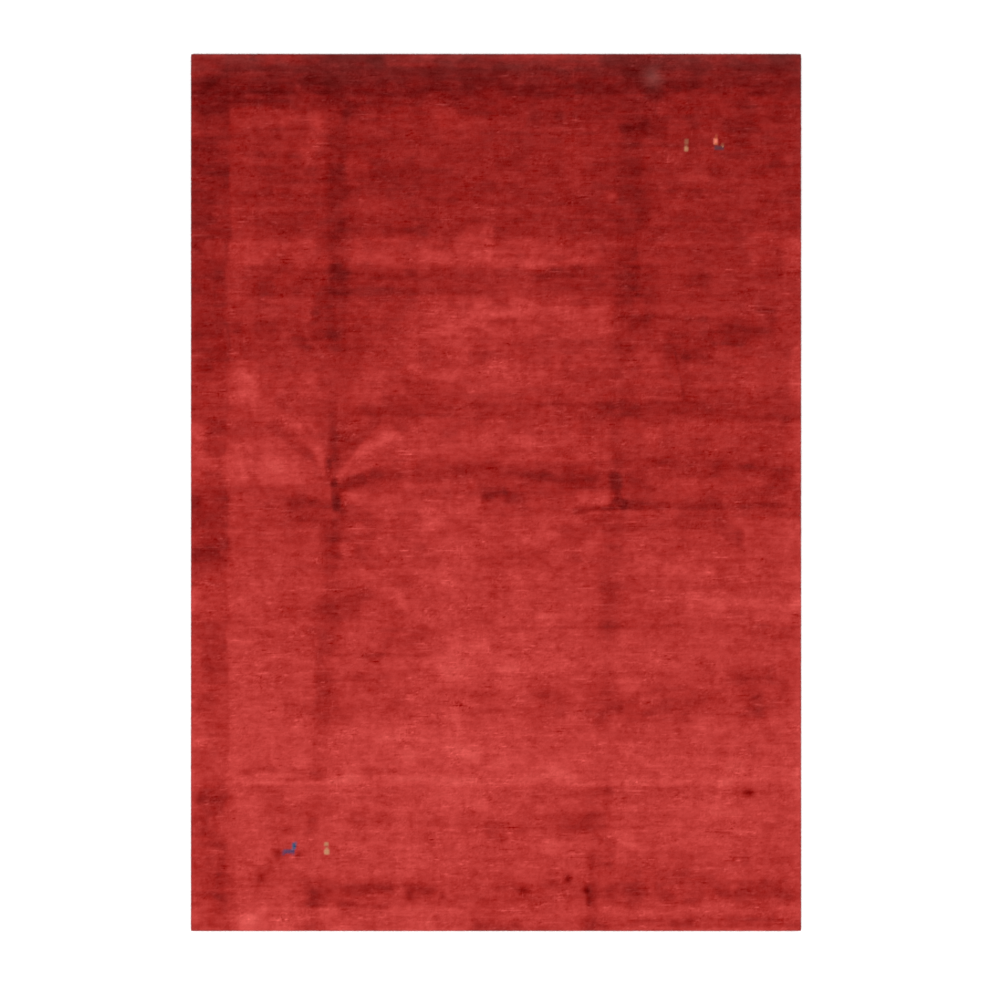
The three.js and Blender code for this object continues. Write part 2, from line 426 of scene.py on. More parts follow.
    Bar(0.285, 0.335, -0.305, -0.240, 0.016, -10),
    Bar(0.29, 0.325, -0.380, -0.340, 0.010, -7),
    Bar(0.33, 0.385, -0.405, -0.375, 0.010, 8),
    Bar(0.66, 0.775, -0.395, -0.355, 0.012, -8),
    Bar(-0.41, -0.36, -0.340, -0.250, 0.015, -8),
    Bar(-0.485, -0.41, -0.445, -0.280, 0.020, -7),
    Bar(-0.30, -0.165, -0.420, -0.350, 0.020, -7),
    Bar(-0.355, -0.28, -0.445, -0.400, 0.014, -9),
    Bar(-0.67, -0.62, -0.300, -0.230, 0.015, 6),
    Bar(-0.70, -0.63, -0.400, -0.375, 0.010, 7),
    Bar(-0.82, -0.77, -0.320, -0.250, 0.012, 10),
    Bar(-0.82, -0.78, -0.470, -0.370, 0.012, 9),
    # Patches three quarters of the way down.
    Bar(-0.13, -0.02, -0.425, -0.365, 0.014, 8),
    Bar(-0.15, -0.075, -0.495, -0.430, 0.016, 11),
    Bar(-0.20, -0.15, -0.475, -0.445, 0.014, 8),
    Bar(-0.475, -0.275, -0.510, -0.475, 0.010, -8),
    Bar(-0.675, -0.605, -0.475, -0.435, 0.012, 8),
    Bar(-0.78, -0.73, -0.580, -0.465, 0.016, -6),
    Bar(0.00, 0.065, -0.555, -0.455, 0.016, 6),
    Bar(0.255, 0.31, -0.515, -0.475, 0.012, -8),
    Bar(0.325, 0.365, -0.530, -0.495, 0.010, 9),
    Bar(0.105, 0.185, -0.605, -0.495, 0.018, -6),
    Bar(0.60, 0.735, -0.500, -0.455, 0.016, -11),
    Bar(0.66, 0.775, -0.575, -0.475, 0.020, -10),
    Bar(0.63, 0.70, -0.600, -0.550, 0.014, -9),
    Bar(0.255, 0.50, -0.615, -0.565, 0.016, -10),
    Bar(0.27, 0.39, -0.650, -0.610, 0.014, -6),
    Bar(-0.565, -0.48, -0.590, -0.550, 0.014, -7),
    Bar(-0.48, -0.37, -0.615, -0.585, 0.012, -7),
    Bar(-0.22, -0.155, -0.530, -0.505, 0.010, 8),
    Bar(-0.14, -0.095, -0.650, -0.555, 0.014, 12),
    Bar(-0.135, -0.04, -0.705, -0.650, 0.014, 13),
    Bar(-0.25, -0.18, -0.720, -0.620, 0.018, 11),
    Bar(-0.02, 0.03, -0.730, -0.600, 0.012, 9),
    Bar(0.32, 0.365, -0.680, -0.655, 0.010, 8),
    Bar(0.60, 0.655, -0.730, -0.700, 0.012, 8),
    Bar(0.675, 0.715, -0.760, -0.725, 0.012, 8),
    Bar(0.255, 0.305, -0.785, -0.740, 0.014, -7),
    Bar(-0.53, -0.45, -0.755, -0.720, 0.012, -8),
    Bar(-0.35, -0.32, -0.750, -0.710, 0.010, -9),
    Bar(-0.39, -0.36, -0.750, -0.700, 0.010, 8),
    Bar(-0.545, -0.50, -0.715, -0.685, 0.010, 8),
    # Patches along the low bar above the foot.
    Bar(-0.27, 0.09, -0.820, -0.750, 0.020, 5),
    Bar(-0.17, -0.105, -0.820, -0.755, 0.016, 8),
    Bar(-0.09, -0.025, -0.820, -0.770, 0.014, 8),
    Bar(-0.445, -0.365, -0.800, -0.755, 0.014, 11),
    Bar(-0.555, -0.50, -0.810, -0.770, 0.012, 9),
    Bar(-0.685, -0.63, -0.825, -0.790, 0.012, 10),
    Bar(-0.82, -0.755, -0.670, -0.630, 0.012, 8),
    Bar(-0.82, -0.775, -0.815, -0.725, 0.014, 9),
    Bar(0.49, 0.555, -0.800, -0.775, 0.010, 7),
    Bar(0.58, 0.625, -0.810, -0.745, 0.014, 8),
    Bar(0.77, 0.82, -0.810, -0.720, 0.012, 11),
    Bar(0.545, 0.635, -0.855, -0.820, 0.012, 8),
    Bar(-0.61, -0.43, -0.850, -0.810, 0.014, -9),
    Bar(-0.50, -0.465, -0.920, -0.850, 0.012, -10),
    Bar(-0.60, -0.53, -0.900, -0.875, 0.010, -8),
    Bar(-0.38, -0.335, -0.905, -0.830, 0.014, -9),
    Bar(-0.185, -0.15, -0.860, -0.820, 0.010, -7),
    Bar(-0.03, 0.035, -0.905, -0.860, 0.014, -11),
    Bar(0.055, 0.235, -0.895, -0.850, 0.016, -8),
    Bar(0.235, 0.305, -0.915, -0.810, 0.016, -10),
    Bar(0.27, 0.31, -0.990, -0.915, 0.012, -11),
    Bar(0.70, 0.775, -0.895, -0.855, 0.012, -7),
    # Patches in the foot.
    Bar(0.12, 0.165, -0.950, -0.905, 0.012, 13),
    Bar(0.315, 0.36, -0.930, -0.885, 0.014, 7),
    Bar(0.555, 0.605, -0.935, -0.900, 0.012, 8),
    Bar(-0.29, -0.195, -0.995, -0.900, 0.020, 2),
    Bar(-0.25, -0.05, -0.985, -0.900, 0.020, 4),
    Bar(-0.59, -0.545, -0.970, -0.935, 0.010, -9),
    Bar(-0.725, -0.68, -1.035, -0.955, 0.014, -12),
    Bar(-0.64, -0.59, -1.060, -0.970, 0.014, -8),
    Bar(-0.53, -0.48, -1.055, -1.000, 0.014, -9),
    Bar(-0.405, -0.265, -1.055, -1.025, 0.012, -8),
    Bar(-0.41, -0.285, -1.110, -1.070, 0.014, -12),
    Bar(-0.73, -0.67, -1.095, -1.050, 0.012, -12),
    Bar(-0.065, -0.015, -1.030, -0.985, 0.012, -7),
    Bar(0.285, 0.44, -1.045, -0.980, 0.020, -10),
    Bar(0.44, 0.575, -1.040, -0.990, 0.016, -9),
    Bar(0.475, 0.52, -0.995, -0.945, 0.014, -8),
    Bar(0.335, 0.385, -1.100, -1.030, 0.014, -8),
    Bar(0.57, 0.61, -1.060, -1.020, 0.012, -11),
    Bar(0.64, 0.68, -1.030, -0.930, 0.014, -9),
    Bar(0.70, 0.77, -1.020, -0.930, 0.016, -6),
    Bar(0.62, 0.775, -1.065, -1.020, 0.014, -8),
    Bar(0.65, 0.75, -1.130, -1.080, 0.014, -8),
    Bar(0.765, 0.82, -1.105, -1.070, 0.010, 9),
    Bar(0.225, 0.31, -1.070, -1.030, 0.014, -6),
    Bar(0.215, 0.295, -1.170, -1.105, 0.012, -8),
    Bar(0.15, 0.225, -1.110, -1.065, 0.014, 6),
    Bar(-0.665, -0.625, -1.170, -1.100, 0.012, 11),
    Bar(-0.585, -0.54, -1.150, -1.100, 0.012, 8),
    Bar(-0.505, -0.44, -1.170, -1.125, 0.012, -9),
    Bar(-0.385, -0.24, -1.170, -1.120, 0.014, -9),
    Bar(-0.06, 0.06, -1.170, -1.120, 0.012, -16),
    Bar(0.06, 0.165, -1.170, -1.130, 0.012, -11),
    # Smaller patches, from the head to the foot.
    Bar(-0.82, 0.60, 1.140, 1.170, 0.008, 4),
    Bar(-0.73, -0.64, 1.130, 1.170, 0.014, 8),
    Bar(0.285, 0.32, 0.760, 0.785, 0.010, 8),
    Bar(-0.535, -0.475, 0.645, 0.675, 0.012, 7),
    Bar(-0.61, -0.555, 0.595, 0.620, 0.010, -7),
    Bar(0.055, 0.085, 0.600, 0.630, 0.010, -9),
    Bar(0.73, 0.77, 0.615, 0.645, 0.012, -9),
    Bar(0.09, 0.14, 0.580, 0.600, 0.010, 8),
    Bar(0.09, 0.155, 0.515, 0.545, 0.012, 7),
    Bar(-0.03, 0.035, 0.490, 0.515, 0.012, -8),
    Bar(0.05, 0.085, 0.475, 0.505, 0.010, -9),
    Bar(0.195, 0.24, 0.485, 0.505, 0.008, -7),
    Bar(0.49, 0.55, 0.440, 0.460, 0.010, -7),
    Bar(0.59, 0.66, 0.385, 0.400, 0.010, -7),
    Bar(-0.52, -0.47, 0.250, 0.295, 0.014, 7),
    Bar(0.33, 0.37, 0.200, 0.290, 0.012, -6),
    Bar(-0.18, -0.05, 0.200, 0.215, 0.008, 7),
    Bar(0.11, 0.15, 0.190, 0.225, 0.012, 8),
    Bar(-0.02, 0.03, 0.160, 0.210, 0.014, 7),
    Bar(0.75, 0.80, 0.170, 0.200, 0.012, -9),
    Bar(-0.82, -0.75, 0.135, 0.170, 0.012, 9),
    Bar(-0.685, -0.63, 0.100, 0.140, 0.012, 9),
    Bar(0.035, 0.185, 0.120, 0.150, 0.012, 7),
    Bar(-0.40, -0.345, 0.100, 0.160, 0.014, -2),
    Bar(0.30, 0.345, 0.070, 0.105, 0.012, -9),
    Bar(0.35, 0.485, 0.070, 0.105, 0.012, -6),
    Bar(-0.59, -0.555, 0.020, 0.085, 0.012, 2),
    Bar(0.57, 0.60, 0.040, 0.080, 0.014, -8),
    Bar(0.70, 0.76, 0.010, 0.040, 0.012, -8),
    Bar(0.48, 0.525, 0.000, 0.035, 0.012, 7),
    Bar(0.03, 0.13, -0.010, 0.050, 0.016, -5),
    Bar(0.47, 0.555, -0.095, -0.060, 0.014, -8),
    Bar(-0.20, -0.09, -0.120, -0.070, 0.016, 7),
    Bar(0.475, 0.52, -0.190, -0.165, 0.012, 8),
    Bar(0.085, 0.13, -0.235, -0.195, 0.014, 8),
    Bar(-0.36, -0.315, -0.290, -0.245, 0.014, -8),
    Bar(0.63, 0.72, -0.305, -0.275, 0.014, 7),
    Bar(0.18, 0.23, -0.320, -0.300, 0.010, 7),
    Bar(0.195, 0.24, -0.400, -0.355, 0.014, 7),
    Bar(0.54, 0.57, -0.500, -0.450, 0.012, -7),
    Bar(0.625, 0.67, -0.530, -0.480, 0.014, -9),
    Bar(0.40, 0.54, -0.560, -0.480, 0.020, -5),
    Bar(-0.20, -0.165, -0.590, -0.570, 0.010, 8),
    Bar(0.64, 0.71, -0.625, -0.600, 0.010, -7),
    Bar(-0.105, -0.065, -0.630, -0.610, 0.010, 8),
    Bar(-0.31, -0.25, -0.660, -0.615, 0.014, 8),
    Bar(0.655, 0.69, -0.690, -0.650, 0.012, -8),
    Bar(-0.18, -0.145, -0.705, -0.640, 0.012, 7),
    Bar(0.21, 0.255, -0.730, -0.685, 0.014, 7),
    Bar(0.07, 0.205, -0.750, -0.715, 0.014, 6),
    Bar(-0.565, -0.54, -0.775, -0.745, 0.008, -8),
    Bar(-0.56, -0.47, -0.820, -0.800, 0.010, 6),
    Bar(-0.32, -0.27, -0.875, -0.830, 0.014, -6),
    Bar(-0.725, -0.70, -0.900, -0.850, 0.008, 8),
    Bar(0.51, 0.565, -0.915, -0.885, 0.012, 7),
    Bar(0.00, 0.05, -1.040, -0.990, 0.014, -9),
    Bar(0.11, 0.155, -1.030, -0.990, 0.012, -7),
    Bar(-0.24, -0.16, -1.050, -1.020, 0.012, -7),
    Bar(0.495, 0.545, -1.075, -1.040, 0.014, -10),
    Bar(0.43, 0.475, -1.070, -1.040, 0.012, -7),
    Bar(-0.53, -0.495, -1.130, -1.090, 0.012, 8),
    Bar(-0.82, -0.775, -1.130, -1.090, 0.012, 8),
    Bar(0.45, 0.52, -1.140, -1.105, 0.012, -8),
    Bar(0.60, 0.64, -1.140, -1.100, 0.012, -9),
    Bar(0.76, 0.80, -1.160, -1.120, 0.012, -7),
    # Further patches, from the head to the foot.
    Bar(-0.45, -0.30, 1.060, 1.170, 0.014, -4),
    Bar(0.16, 0.42, 1.070, 1.170, 0.020, -3),
    Bar(-0.27, -0.13, 0.950, 1.040, 0.020, 5),
    Bar(-0.06, 0.09, 1.040, 1.070, 0.012, 5),
    Bar(-0.56, -0.51, 0.890, 0.980, 0.014, 7),
    Bar(-0.45, -0.41, 0.840, 0.900, 0.014, 6),
    Bar(-0.33, -0.26, 0.640, 0.660, 0.008, 6),
    Bar(-0.36, -0.32, 0.610, 0.635, 0.010, -7),
    Bar(0.31, 0.36, 0.610, 0.660, 0.014, 6),
    Bar(0.05, 0.09, 0.595, 0.620, 0.010, -7),
    Bar(0.18, 0.24, 0.585, 0.620, 0.012, 7),
    Bar(-0.53, -0.43, 0.560, 0.620, 0.016, 7),
    Bar(0.31, 0.35, 0.545, 0.580, 0.012, -9),
    Bar(0.27, 0.36, 0.515, 0.535, 0.008, 7),
    Bar(0.68, 0.73, 0.440, 0.490, 0.014, -7),
    Bar(-0.03, 0.01, 0.335, 0.370, 0.010, -8),
    Bar(0.15, 0.18, 0.310, 0.360, 0.012, 6),
    Bar(-0.82, -0.76, 0.300, 0.380, 0.020, 6),
    Bar(-0.34, -0.12, 0.300, 0.390, 0.020, 7),
    Bar(-0.31, -0.24, 0.270, 0.360, 0.016, 4),
    Bar(0.69, 0.77, 0.240, 0.370, 0.020, -5),
    Bar(-0.23, -0.18, 0.110, 0.180, 0.012, 7),
    Bar(-0.145, -0.095, 0.115, 0.160, 0.012, -7),
    Bar(-0.07, -0.02, 0.140, 0.175, 0.012, 13),
    Bar(-0.78, -0.66, 0.060, 0.140, 0.020, 6),
    Bar(0.62, 0.71, 0.060, 0.130, 0.020, -7),
    Bar(-0.24, -0.12, 0.010, 0.090, 0.020, 5),
    Bar(0.34, 0.41, -0.030, 0.060, 0.016, -7),
    Bar(-0.29, -0.20, -0.020, 0.015, 0.012, 8),
    Bar(-0.62, -0.42, -0.090, -0.010, 0.020, -7),
    Bar(-0.345, -0.30, -0.060, -0.020, 0.012, -7),
    Bar(-0.39, -0.30, -0.190, -0.130, 0.016, -7),
    Bar(-0.12, 0.14, -0.125, -0.080, 0.012, 8),
    Bar(0.63, 0.68, -0.230, -0.185, 0.014, 8),
    Bar(-0.80, -0.57, -0.320, -0.255, 0.016, 8),
    Bar(-0.78, -0.69, -0.260, -0.200, 0.016, 5),
    Bar(0.12, 0.26, -0.330, -0.290, 0.012, 7),
    Bar(0.00, 0.14, -0.360, -0.320, 0.012, 8),
    Bar(0.67, 0.80, -0.345, -0.295, 0.014, 7),
    Bar(-0.50, -0.45, -0.385, -0.335, 0.014, -7),
    Bar(-0.24, 0.01, -0.555, -0.530, 0.008, 8),
    Bar(0.54, 0.70, -0.545, -0.510, 0.012, -6),
    Bar(0.33, 0.38, -0.590, -0.555, 0.012, 10),
    Bar(0.24, 0.29, -0.610, -0.520, 0.016, -7),
    Bar(0.38, 0.52, -0.620, -0.595, 0.010, -8),
    Bar(0.71, 0.76, -0.650, -0.610, 0.014, -8),
    Bar(-0.34, -0.265, -0.710, -0.675, 0.012, 8),
    Bar(-0.66, -0.58, -0.750, -0.715, 0.014, -9),
    Bar(0.40, 0.44, -0.770, -0.730, 0.012, -8),
    Bar(0.26, 0.31, -0.900, -0.780, 0.014, 7),
    Bar(-0.45, -0.41, -0.920, -0.880, 0.012, 8),
    Bar(0.61, 0.66, -0.910, -0.885, 0.012, 8),
    Bar(-0.78, -0.66, -0.970, -0.800, 0.020, -5),
    Bar(0.38, 0.415, -1.040, -0.985, 0.012, 9),
    Bar(0.59, 0.69, -1.040, -1.000, 0.014, 7),
    Bar(-0.61, -0.55, -1.110, -1.080, 0.012, 8),
    Bar(-0.22, -0.16, -1.120, -1.090, 0.012, 9),
    Bar(-0.16, 0.00, -1.150, -1.105, 0.012, -9),
    # Short bars with crisp sides by the puckers: painted light and shade on their ridges and hollows.
    Bar(-0.449, -0.398, 0.050, 0.160, 0.008, -4),
    Bar(-0.408, -0.362, -0.020, -0.003, 0.005, 9),
    Bar(-0.500, -0.437, -0.016, -0.002, 0.004, 8),
    Bar(-0.500, -0.430, -0.038, -0.022, 0.005, -8),
    Bar(0.215, 0.300, -0.032, -0.004, 0.006, 12),
)


class Stroke(NamedTuple):
    """A soft line of lighter or darker wool, from one place to another: mostly painted shade along a crease
    or painted highlight along a ridge.
    """

    x: float
    y: float
    to_x: float
    to_y: float
    half_width: float
    lift: float


STROKES = (
    # Painted shade along the long crease on the left, from the head down.
    Stroke(-0.420, 1.010, -0.412, 0.580, 0.034, -7),
    Stroke(-0.420, 0.860, -0.415, 0.680, 0.022, -4),
    Stroke(-0.415, 0.590, -0.412, 0.380, 0.028, -6),
    Stroke(-0.430, 0.250, -0.425, 0.030, 0.016, -6),
    Stroke(-0.425, -0.030, -0.435, -0.340, 0.024, -7),
    Stroke(-0.450, -0.390, -0.465, -0.730, 0.024, -7),
    Stroke(-0.475, -1.010, -0.485, -1.150, 0.020, -7),
    # Painted shade along the long crease on the right.
    Stroke(0.358, 1.010, 0.335, 0.390, 0.034, -7),
    Stroke(0.380, 0.970, 0.340, 0.950, 0.020, -7),
    Stroke(0.318, 0.330, 0.316, 0.060, 0.018, -4),
    Stroke(0.304, -0.070, 0.288, -0.390, 0.027, -7),
    Stroke(0.300, -0.770, 0.290, -0.820, 0.014, -6),
    Stroke(0.262, -0.920, 0.246, -1.150, 0.015, -8),
    # The puckers where they cross the middle fold: painted highlight on their ridges, painted shade in
    # their hollows.
    Stroke(-0.659, 0.295, -0.593, 0.230, 0.015, 7),
    Stroke(-0.593, 0.230, -0.514, 0.164, 0.014, 7),
    Stroke(-0.514, 0.164, -0.457, 0.085, 0.014, 7),
    Stroke(-0.457, 0.085, -0.435, 0.035, 0.012, 8),
    Stroke(-0.593, 0.177, -0.488, 0.098, 0.014, -8),
    Stroke(-0.357, 0.108, -0.270, 0.155, 0.014, 9),
    Stroke(-0.409, -0.138, -0.344, -0.216, 0.016, 7),
    Stroke(-0.344, -0.216, -0.252, -0.282, 0.018, 6),
    Stroke(-0.252, -0.282, -0.173, -0.334, 0.018, 5),
    Stroke(0.640, -0.110, 0.640, -0.190, 0.012, -3),
    Stroke(0.470, 0.370, 0.492, 0.245, 0.004, -5),
    # Slanting patches.
    Stroke(-0.430, 0.990, -0.500, 0.905, 0.028, 8),
    Stroke(-0.515, 0.590, -0.565, 0.550, 0.018, 8),
    Stroke(0.410, 0.590, 0.405, 0.470, 0.020, -7),
    Stroke(0.497, 0.360, 0.493, 0.250, 0.014, -3),
    Stroke(0.245, 0.165, 0.295, 0.225, 0.016, -7),
    Stroke(-0.335, 0.105, -0.265, 0.135, 0.016, 4),
    Stroke(0.560, -0.030, 0.585, -0.075, 0.030, -8),
    Stroke(0.585, -0.080, 0.625, -0.120, 0.022, -10),
    Stroke(-0.495, -1.085, -0.450, -1.055, 0.022, -6),
    Stroke(-0.665, 0.305, -0.640, 0.265, 0.022, 9),
    Stroke(-0.640, 0.265, -0.600, 0.170, 0.022, 7),
    Stroke(-0.790, 0.105, -0.745, 0.070, 0.018, 10),
    Stroke(-0.520, 0.400, -0.495, 0.385, 0.016, -8),
    Stroke(0.225, -0.150, 0.270, -0.120, 0.014, 7),
    Stroke(0.235, -0.575, 0.220, -0.615, 0.014, -8),
    Stroke(0.248, -0.950, 0.243, -1.000, 0.014, -8),
    # Thin dark lines across.
    Stroke(0.010, -0.355, 0.790, -0.352, 0.005, -6),
    Stroke(-0.436, -0.426, -0.173, -0.426, 0.005, -6),
)


# Painted shade in the dark hollow cores of the puckers. Where they overlap, the darkest holds.
CORES = (
    Stroke(-0.438, 0.080, -0.438, 0.036, 0.009, -14),
    Stroke(-0.424, 0.030, -0.422, -0.010, 0.0115, -20),
    Stroke(-0.422, -0.010, -0.417, -0.040, 0.0125, -18),
    Stroke(-0.417, -0.042, -0.400, -0.054, 0.012, -11),
    Stroke(-0.418, 0.010, -0.390, 0.020, 0.013, -19),
    Stroke(-0.390, 0.022, -0.350, 0.032, 0.020, -17),
    Stroke(-0.350, 0.034, -0.305, 0.040, 0.017, -12),
    Stroke(-0.305, 0.040, -0.255, 0.043, 0.011, -7),
    Stroke(0.311, 0.036, 0.315, 0.014, 0.018, -21),
    Stroke(0.315, 0.014, 0.321, -0.012, 0.012, -20),
    Stroke(0.319, -0.022, 0.334, -0.030, 0.017, -26),
    Stroke(0.305, -0.034, 0.322, -0.030, 0.012, -20),
    Stroke(0.334, -0.031, 0.380, -0.034, 0.013, -16),
    Stroke(0.380, -0.034, 0.450, -0.035, 0.012, -11),
    Stroke(0.450, -0.036, 0.600, -0.037, 0.009, -7),
    Stroke(0.600, -0.036, 0.780, -0.035, 0.007, -5),
    Stroke(0.207, -0.049, 0.300, -0.042, 0.007, -14),
    Stroke(0.207, -0.048, 0.235, -0.047, 0.011, -14),
)


class Ray(NamedTuple):
    """A wedge of lighter or darker wool that runs out from a pucker, between two angles in degrees: painted
    highlight on a ridge, painted shade in a hollow.
    """

    x: float
    y: float
    low: float
    high: float
    near: float
    far: float
    lift: float


RAYS = (
    # Out of the left pucker.
    Ray(-0.424, 0.034, 33, 51, 0.008, 0.210, 10),
    Ray(-0.424, 0.034, 17, 33, 0.010, 0.200, 5),
    Ray(-0.424, 0.034, 51, 96, 0.020, 0.150, -4),
    Ray(-0.430, 0.020, 104, 119, 0.050, 0.200, 6),
    Ray(-0.430, 0.020, 160, 177, 0.020, 0.160, 5),
    Ray(-0.414, -0.003, -30, 2, 0.004, 0.130, 9),
    Ray(-0.424, -0.010, -95, -32, 0.012, 0.110, -7),
    Ray(-0.424, -0.010, -62, -46, 0.090, 0.230, 6),
    # Out of the right pucker.
    Ray(0.316, 0.000, 60, 95, 0.040, 0.120, -4),
    Ray(0.322, -0.012, -120, -60, 0.040, 0.110, -4),
)
RAY_SOFT = 0.006  # how softly a ray begins, and goes over into the wool beside it
RAY_FADE = 0.050  # how softly it ends


class Blot(NamedTuple):
    """A round or oval spot of lighter or darker wool."""

    x: float
    y: float
    across: float
    along: float
    lift: float


BLOTS = (
    Blot(-0.226, -0.694, 0.030, 0.014, 7),
    Blot(0.010, -0.675, 0.030, 0.014, 7),
    Blot(0.548, -0.631, 0.034, 0.014, 7),
    Blot(-0.300, -0.723, 0.040, 0.014, -7),
    Blot(0.268, -0.072, 0.015, 0.010, -15),
    Blot(-0.252, 0.230, 0.030, 0.018, -7),
    Blot(0.325, 0.243, 0.030, 0.014, -6),
    Blot(0.575, 0.203, 0.034, 0.018, -8),
    Blot(0.661, -0.786, 0.015, 0.011, -37),
    Blot(0.188, -1.011, 0.010, 0.011, -44),
    Blot(0.070, -1.043, 0.019, 0.015, -30),
    Blot(0.236, -1.042, 0.010, 0.011, -33),
    Blot(0.243, -1.075, 0.009, 0.012, -20),
    Blot(-0.226, -1.056, 0.010, 0.017, -20),
    Blot(-0.181, -1.049, 0.016, 0.009, -16),
    Blot(-0.139, -1.054, 0.009, 0.009, -16),
    Blot(-0.614, -1.008, 0.011, 0.013, -20),
    Blot(-0.593, -0.964, 0.012, 0.010, -12),
    Blot(-0.570, -0.947, 0.012, 0.015, -24),
    Blot(-0.518, -0.951, 0.009, 0.011, -40),
    Blot(-0.550, -0.878, 0.014, 0.010, -9),
    Blot(-0.497, -0.894, 0.014, 0.010, -8),
)


class Patch(NamedTuple):
    """A random mottling of the wool: how far it reaches across and along the rug, and how strong it is."""

    across: float
    along: float
    lift: float


# Patches of yarn that took the dye alike, and tufts that lean alike and so catch the light alike.
DYE_PATCHES = (
    Patch(0.400, 0.010, 1.3),
    Patch(0.200, 0.020, 1.4),
    Patch(0.040, 0.025, 1.8),
    Patch(0.030, 0.010, 1.2),
)
TUFTS = (
    Patch(0.040, 0.025, 1.0),
    Patch(0.030, 0.010, 1.0),
    Patch(0.018, 0.011, 2.2),
    Patch(0.010, 0.006, 1.6),
    Patch(0.015, 0.030, 1.1),
    Patch(0.015, 0.100, 0.9),
)
PLATEAU = 3.5  # how strongly a patch levels off inside, which sharpens its sides

# Painted highlight and shade: marks of single rows and columns of knots that catch the light or lie in
# shade, strong in some places and hardly there in others.
GRAIN = (
    Patch(0.045, 0.0012, 1.8),
    Patch(0.016, 0.0012, 2.1),
    Patch(0.008, 0.0025, 1.8),
    Patch(0.003, 0.014, 1.0),
)
MARK_FROM = 1.5  # only the stronger places of the grain show
DARK_MARKS = 0.65  # how strong a dark mark is beside a light one
KNOT_LIFT = 2.2  # how much single knots differ from their neighbours in painted highlight and shade, in points
COARSENESS = Patch(0.045, 0.030, 0.30)  # where the grain is strong and where it is hardly there

STROKE_FLATNESS = 4  # the power that makes a stroke even across its middle

# Thin lines of painted highlight where the tufts part.
PARTINGS = Patch(0.050, 0.016, 4.5)
PARTINGS_SHOWN = Patch(0.030, 0.014, 1.0)
PARTING_WIDTH = 0.7  # in knots

GLINT_GROWTH = 1.45  # a glint shows more on light wool than on dark
RIM_PAINTED_HIGHLIGHT = 8.0  # painted highlight: how much lighter the leaning wool at the edge is made, in points
RIM_GLOW = 0.009  # how far in from the edge that reaches
WANDER_ACROSS = Patch(0.030, 0.050, 0.004)  # how far the sides of a bar stray from straight
WANDER_ALONG = Patch(0.060, 0.030, 0.004)
STEADINESS = 0.4  # a crease strays this much of what a bar does
UNEVENNESS = Patch(0.080, 0.040, 0.22)  # how unevenly a bar, stroke or ray lies on the wool, its dye and its painted shade alike
SPOT_DYED = 0.65  # how much of a dark spot is in the dye, the rest being painted shade from the way the wool stands


def stirred(patch):
    """A soft random mottling, as strong as the patch's lift."""
    return patch.lift * mottle(patch.across, patch.along)


def patches(patch):
    """Random patches of wool that are fairly even inside, with a spread of one."""
    field = np.tanh(PLATEAU * mottle(patch.across, patch.along))
    return field / field.std()


def marks(patch):
    """Random marks in the wool with nothing between them, with a spread of one."""
    field = mottle(patch.across, patch.along)
    strong = np.clip(field - MARK_FROM, 0, None) - DARK_MARKS * np.clip(-field - MARK_FROM, 0, None)
    return (strong - strong.mean()) / strong.std()


def partings():
    """Thin wandering lines, along the level line of a random field: one on them, nothing beside them."""
    course = mottle(PARTINGS.across, PARTINGS.along)
    steps_along, steps_across = np.gradient(course)
    knots_away = np.abs(course) / np.hypot(steps_along, steps_across)
    shown = np.clip(stirred(PARTINGS_SHOWN), 0, 1)
    return shown * bell(knots_away, PARTING_WIDTH)


def soft_step(distance, soft):
    share = np.clip(0.5 + distance / (2 * soft), 0, 1)
    return share * share * (3 - 2 * share)


def bar_lift(bar, x, y):
    sides = soft_step(x - bar.left, bar.soft) * soft_step(bar.right - x, bar.soft)
    ends = soft_step(y - bar.foot, bar.soft) * soft_step(bar.head - y, bar.soft)
    return bar.lift * sides * ends


def stroke_lift(stroke, x, y):
    run_x = stroke.to_x - stroke.x
    run_y = stroke.to_y - stroke.y
    share = ((x - stroke.x) * run_x + (y - stroke.y) * run_y) / (run_x**2 + run_y**2)
    share = np.clip(share, 0, 1)
    away = np.hypot(x - stroke.x - share * run_x, y - stroke.y - share * run_y)
    return stroke.lift * np.exp(-((away / stroke.half_width) ** STROKE_FLATNESS))


def ray_lift(ray, x, y):
    out = np.hypot(x - ray.x, y - ray.y)
    turned = np.arctan2(y - ray.y, x - ray.x) - math.radians((ray.low + ray.high) / 2)
    off = np.abs(np.arctan2(np.sin(turned), np.cos(turned)))
    sides = soft_step(out * (math.radians((ray.high - ray.low) / 2) - off), RAY_SOFT)
    return ray.lift * sides * soft_step(out - ray.near, RAY_SOFT) * soft_step(ray.far - out, RAY_FADE)


def spot_lift():
    """How many points the blots move the wool at each knot."""
    lift = np.zeros(X.shape)
    for blot in BLOTS:
        lift += blot.lift * bell(np.hypot((X - blot.x) / blot.across, (Y - blot.y) / blot.along), 1.0)
    return lift


def wool_dye_and_shade():
    """Lightness of the wool at each knot, in points: its dye, with painted shade in the creases and puckers
    and painted highlight on their ridges.
    """
    places = [lot.along for lot in reversed(DYE_LOTS_AND_SHADE)]
    light = np.interp(Y, places, [lot.lightness for lot in reversed(DYE_LOTS_AND_SHADE)])
    stray_x = X + stirred(WANDER_ACROSS)
    stray_y = Y + stirred(WANDER_ALONG)
    unevenness = 1 + UNEVENNESS.lift * patches(UNEVENNESS)
    for bar in BARS:
        light += bar_lift(bar, stray_x, stray_y) * unevenness
    near_x = X + STEADINESS * (stray_x - X)
    near_y = Y + STEADINESS * (stray_y - Y)
    for stroke in STROKES:
        light += stroke_lift(stroke, near_x, near_y) * unevenness
    for ray in RAYS:
        light += ray_lift(ray, near_x, near_y) * unevenness
    light += np.minimum.reduce([stroke_lift(core, near_x, near_y) for core in CORES])
    light += SPOT_DYED * spot_lift()
    for patch in DYE_PATCHES:
        light += patch.lift * patches(patch)
    return light


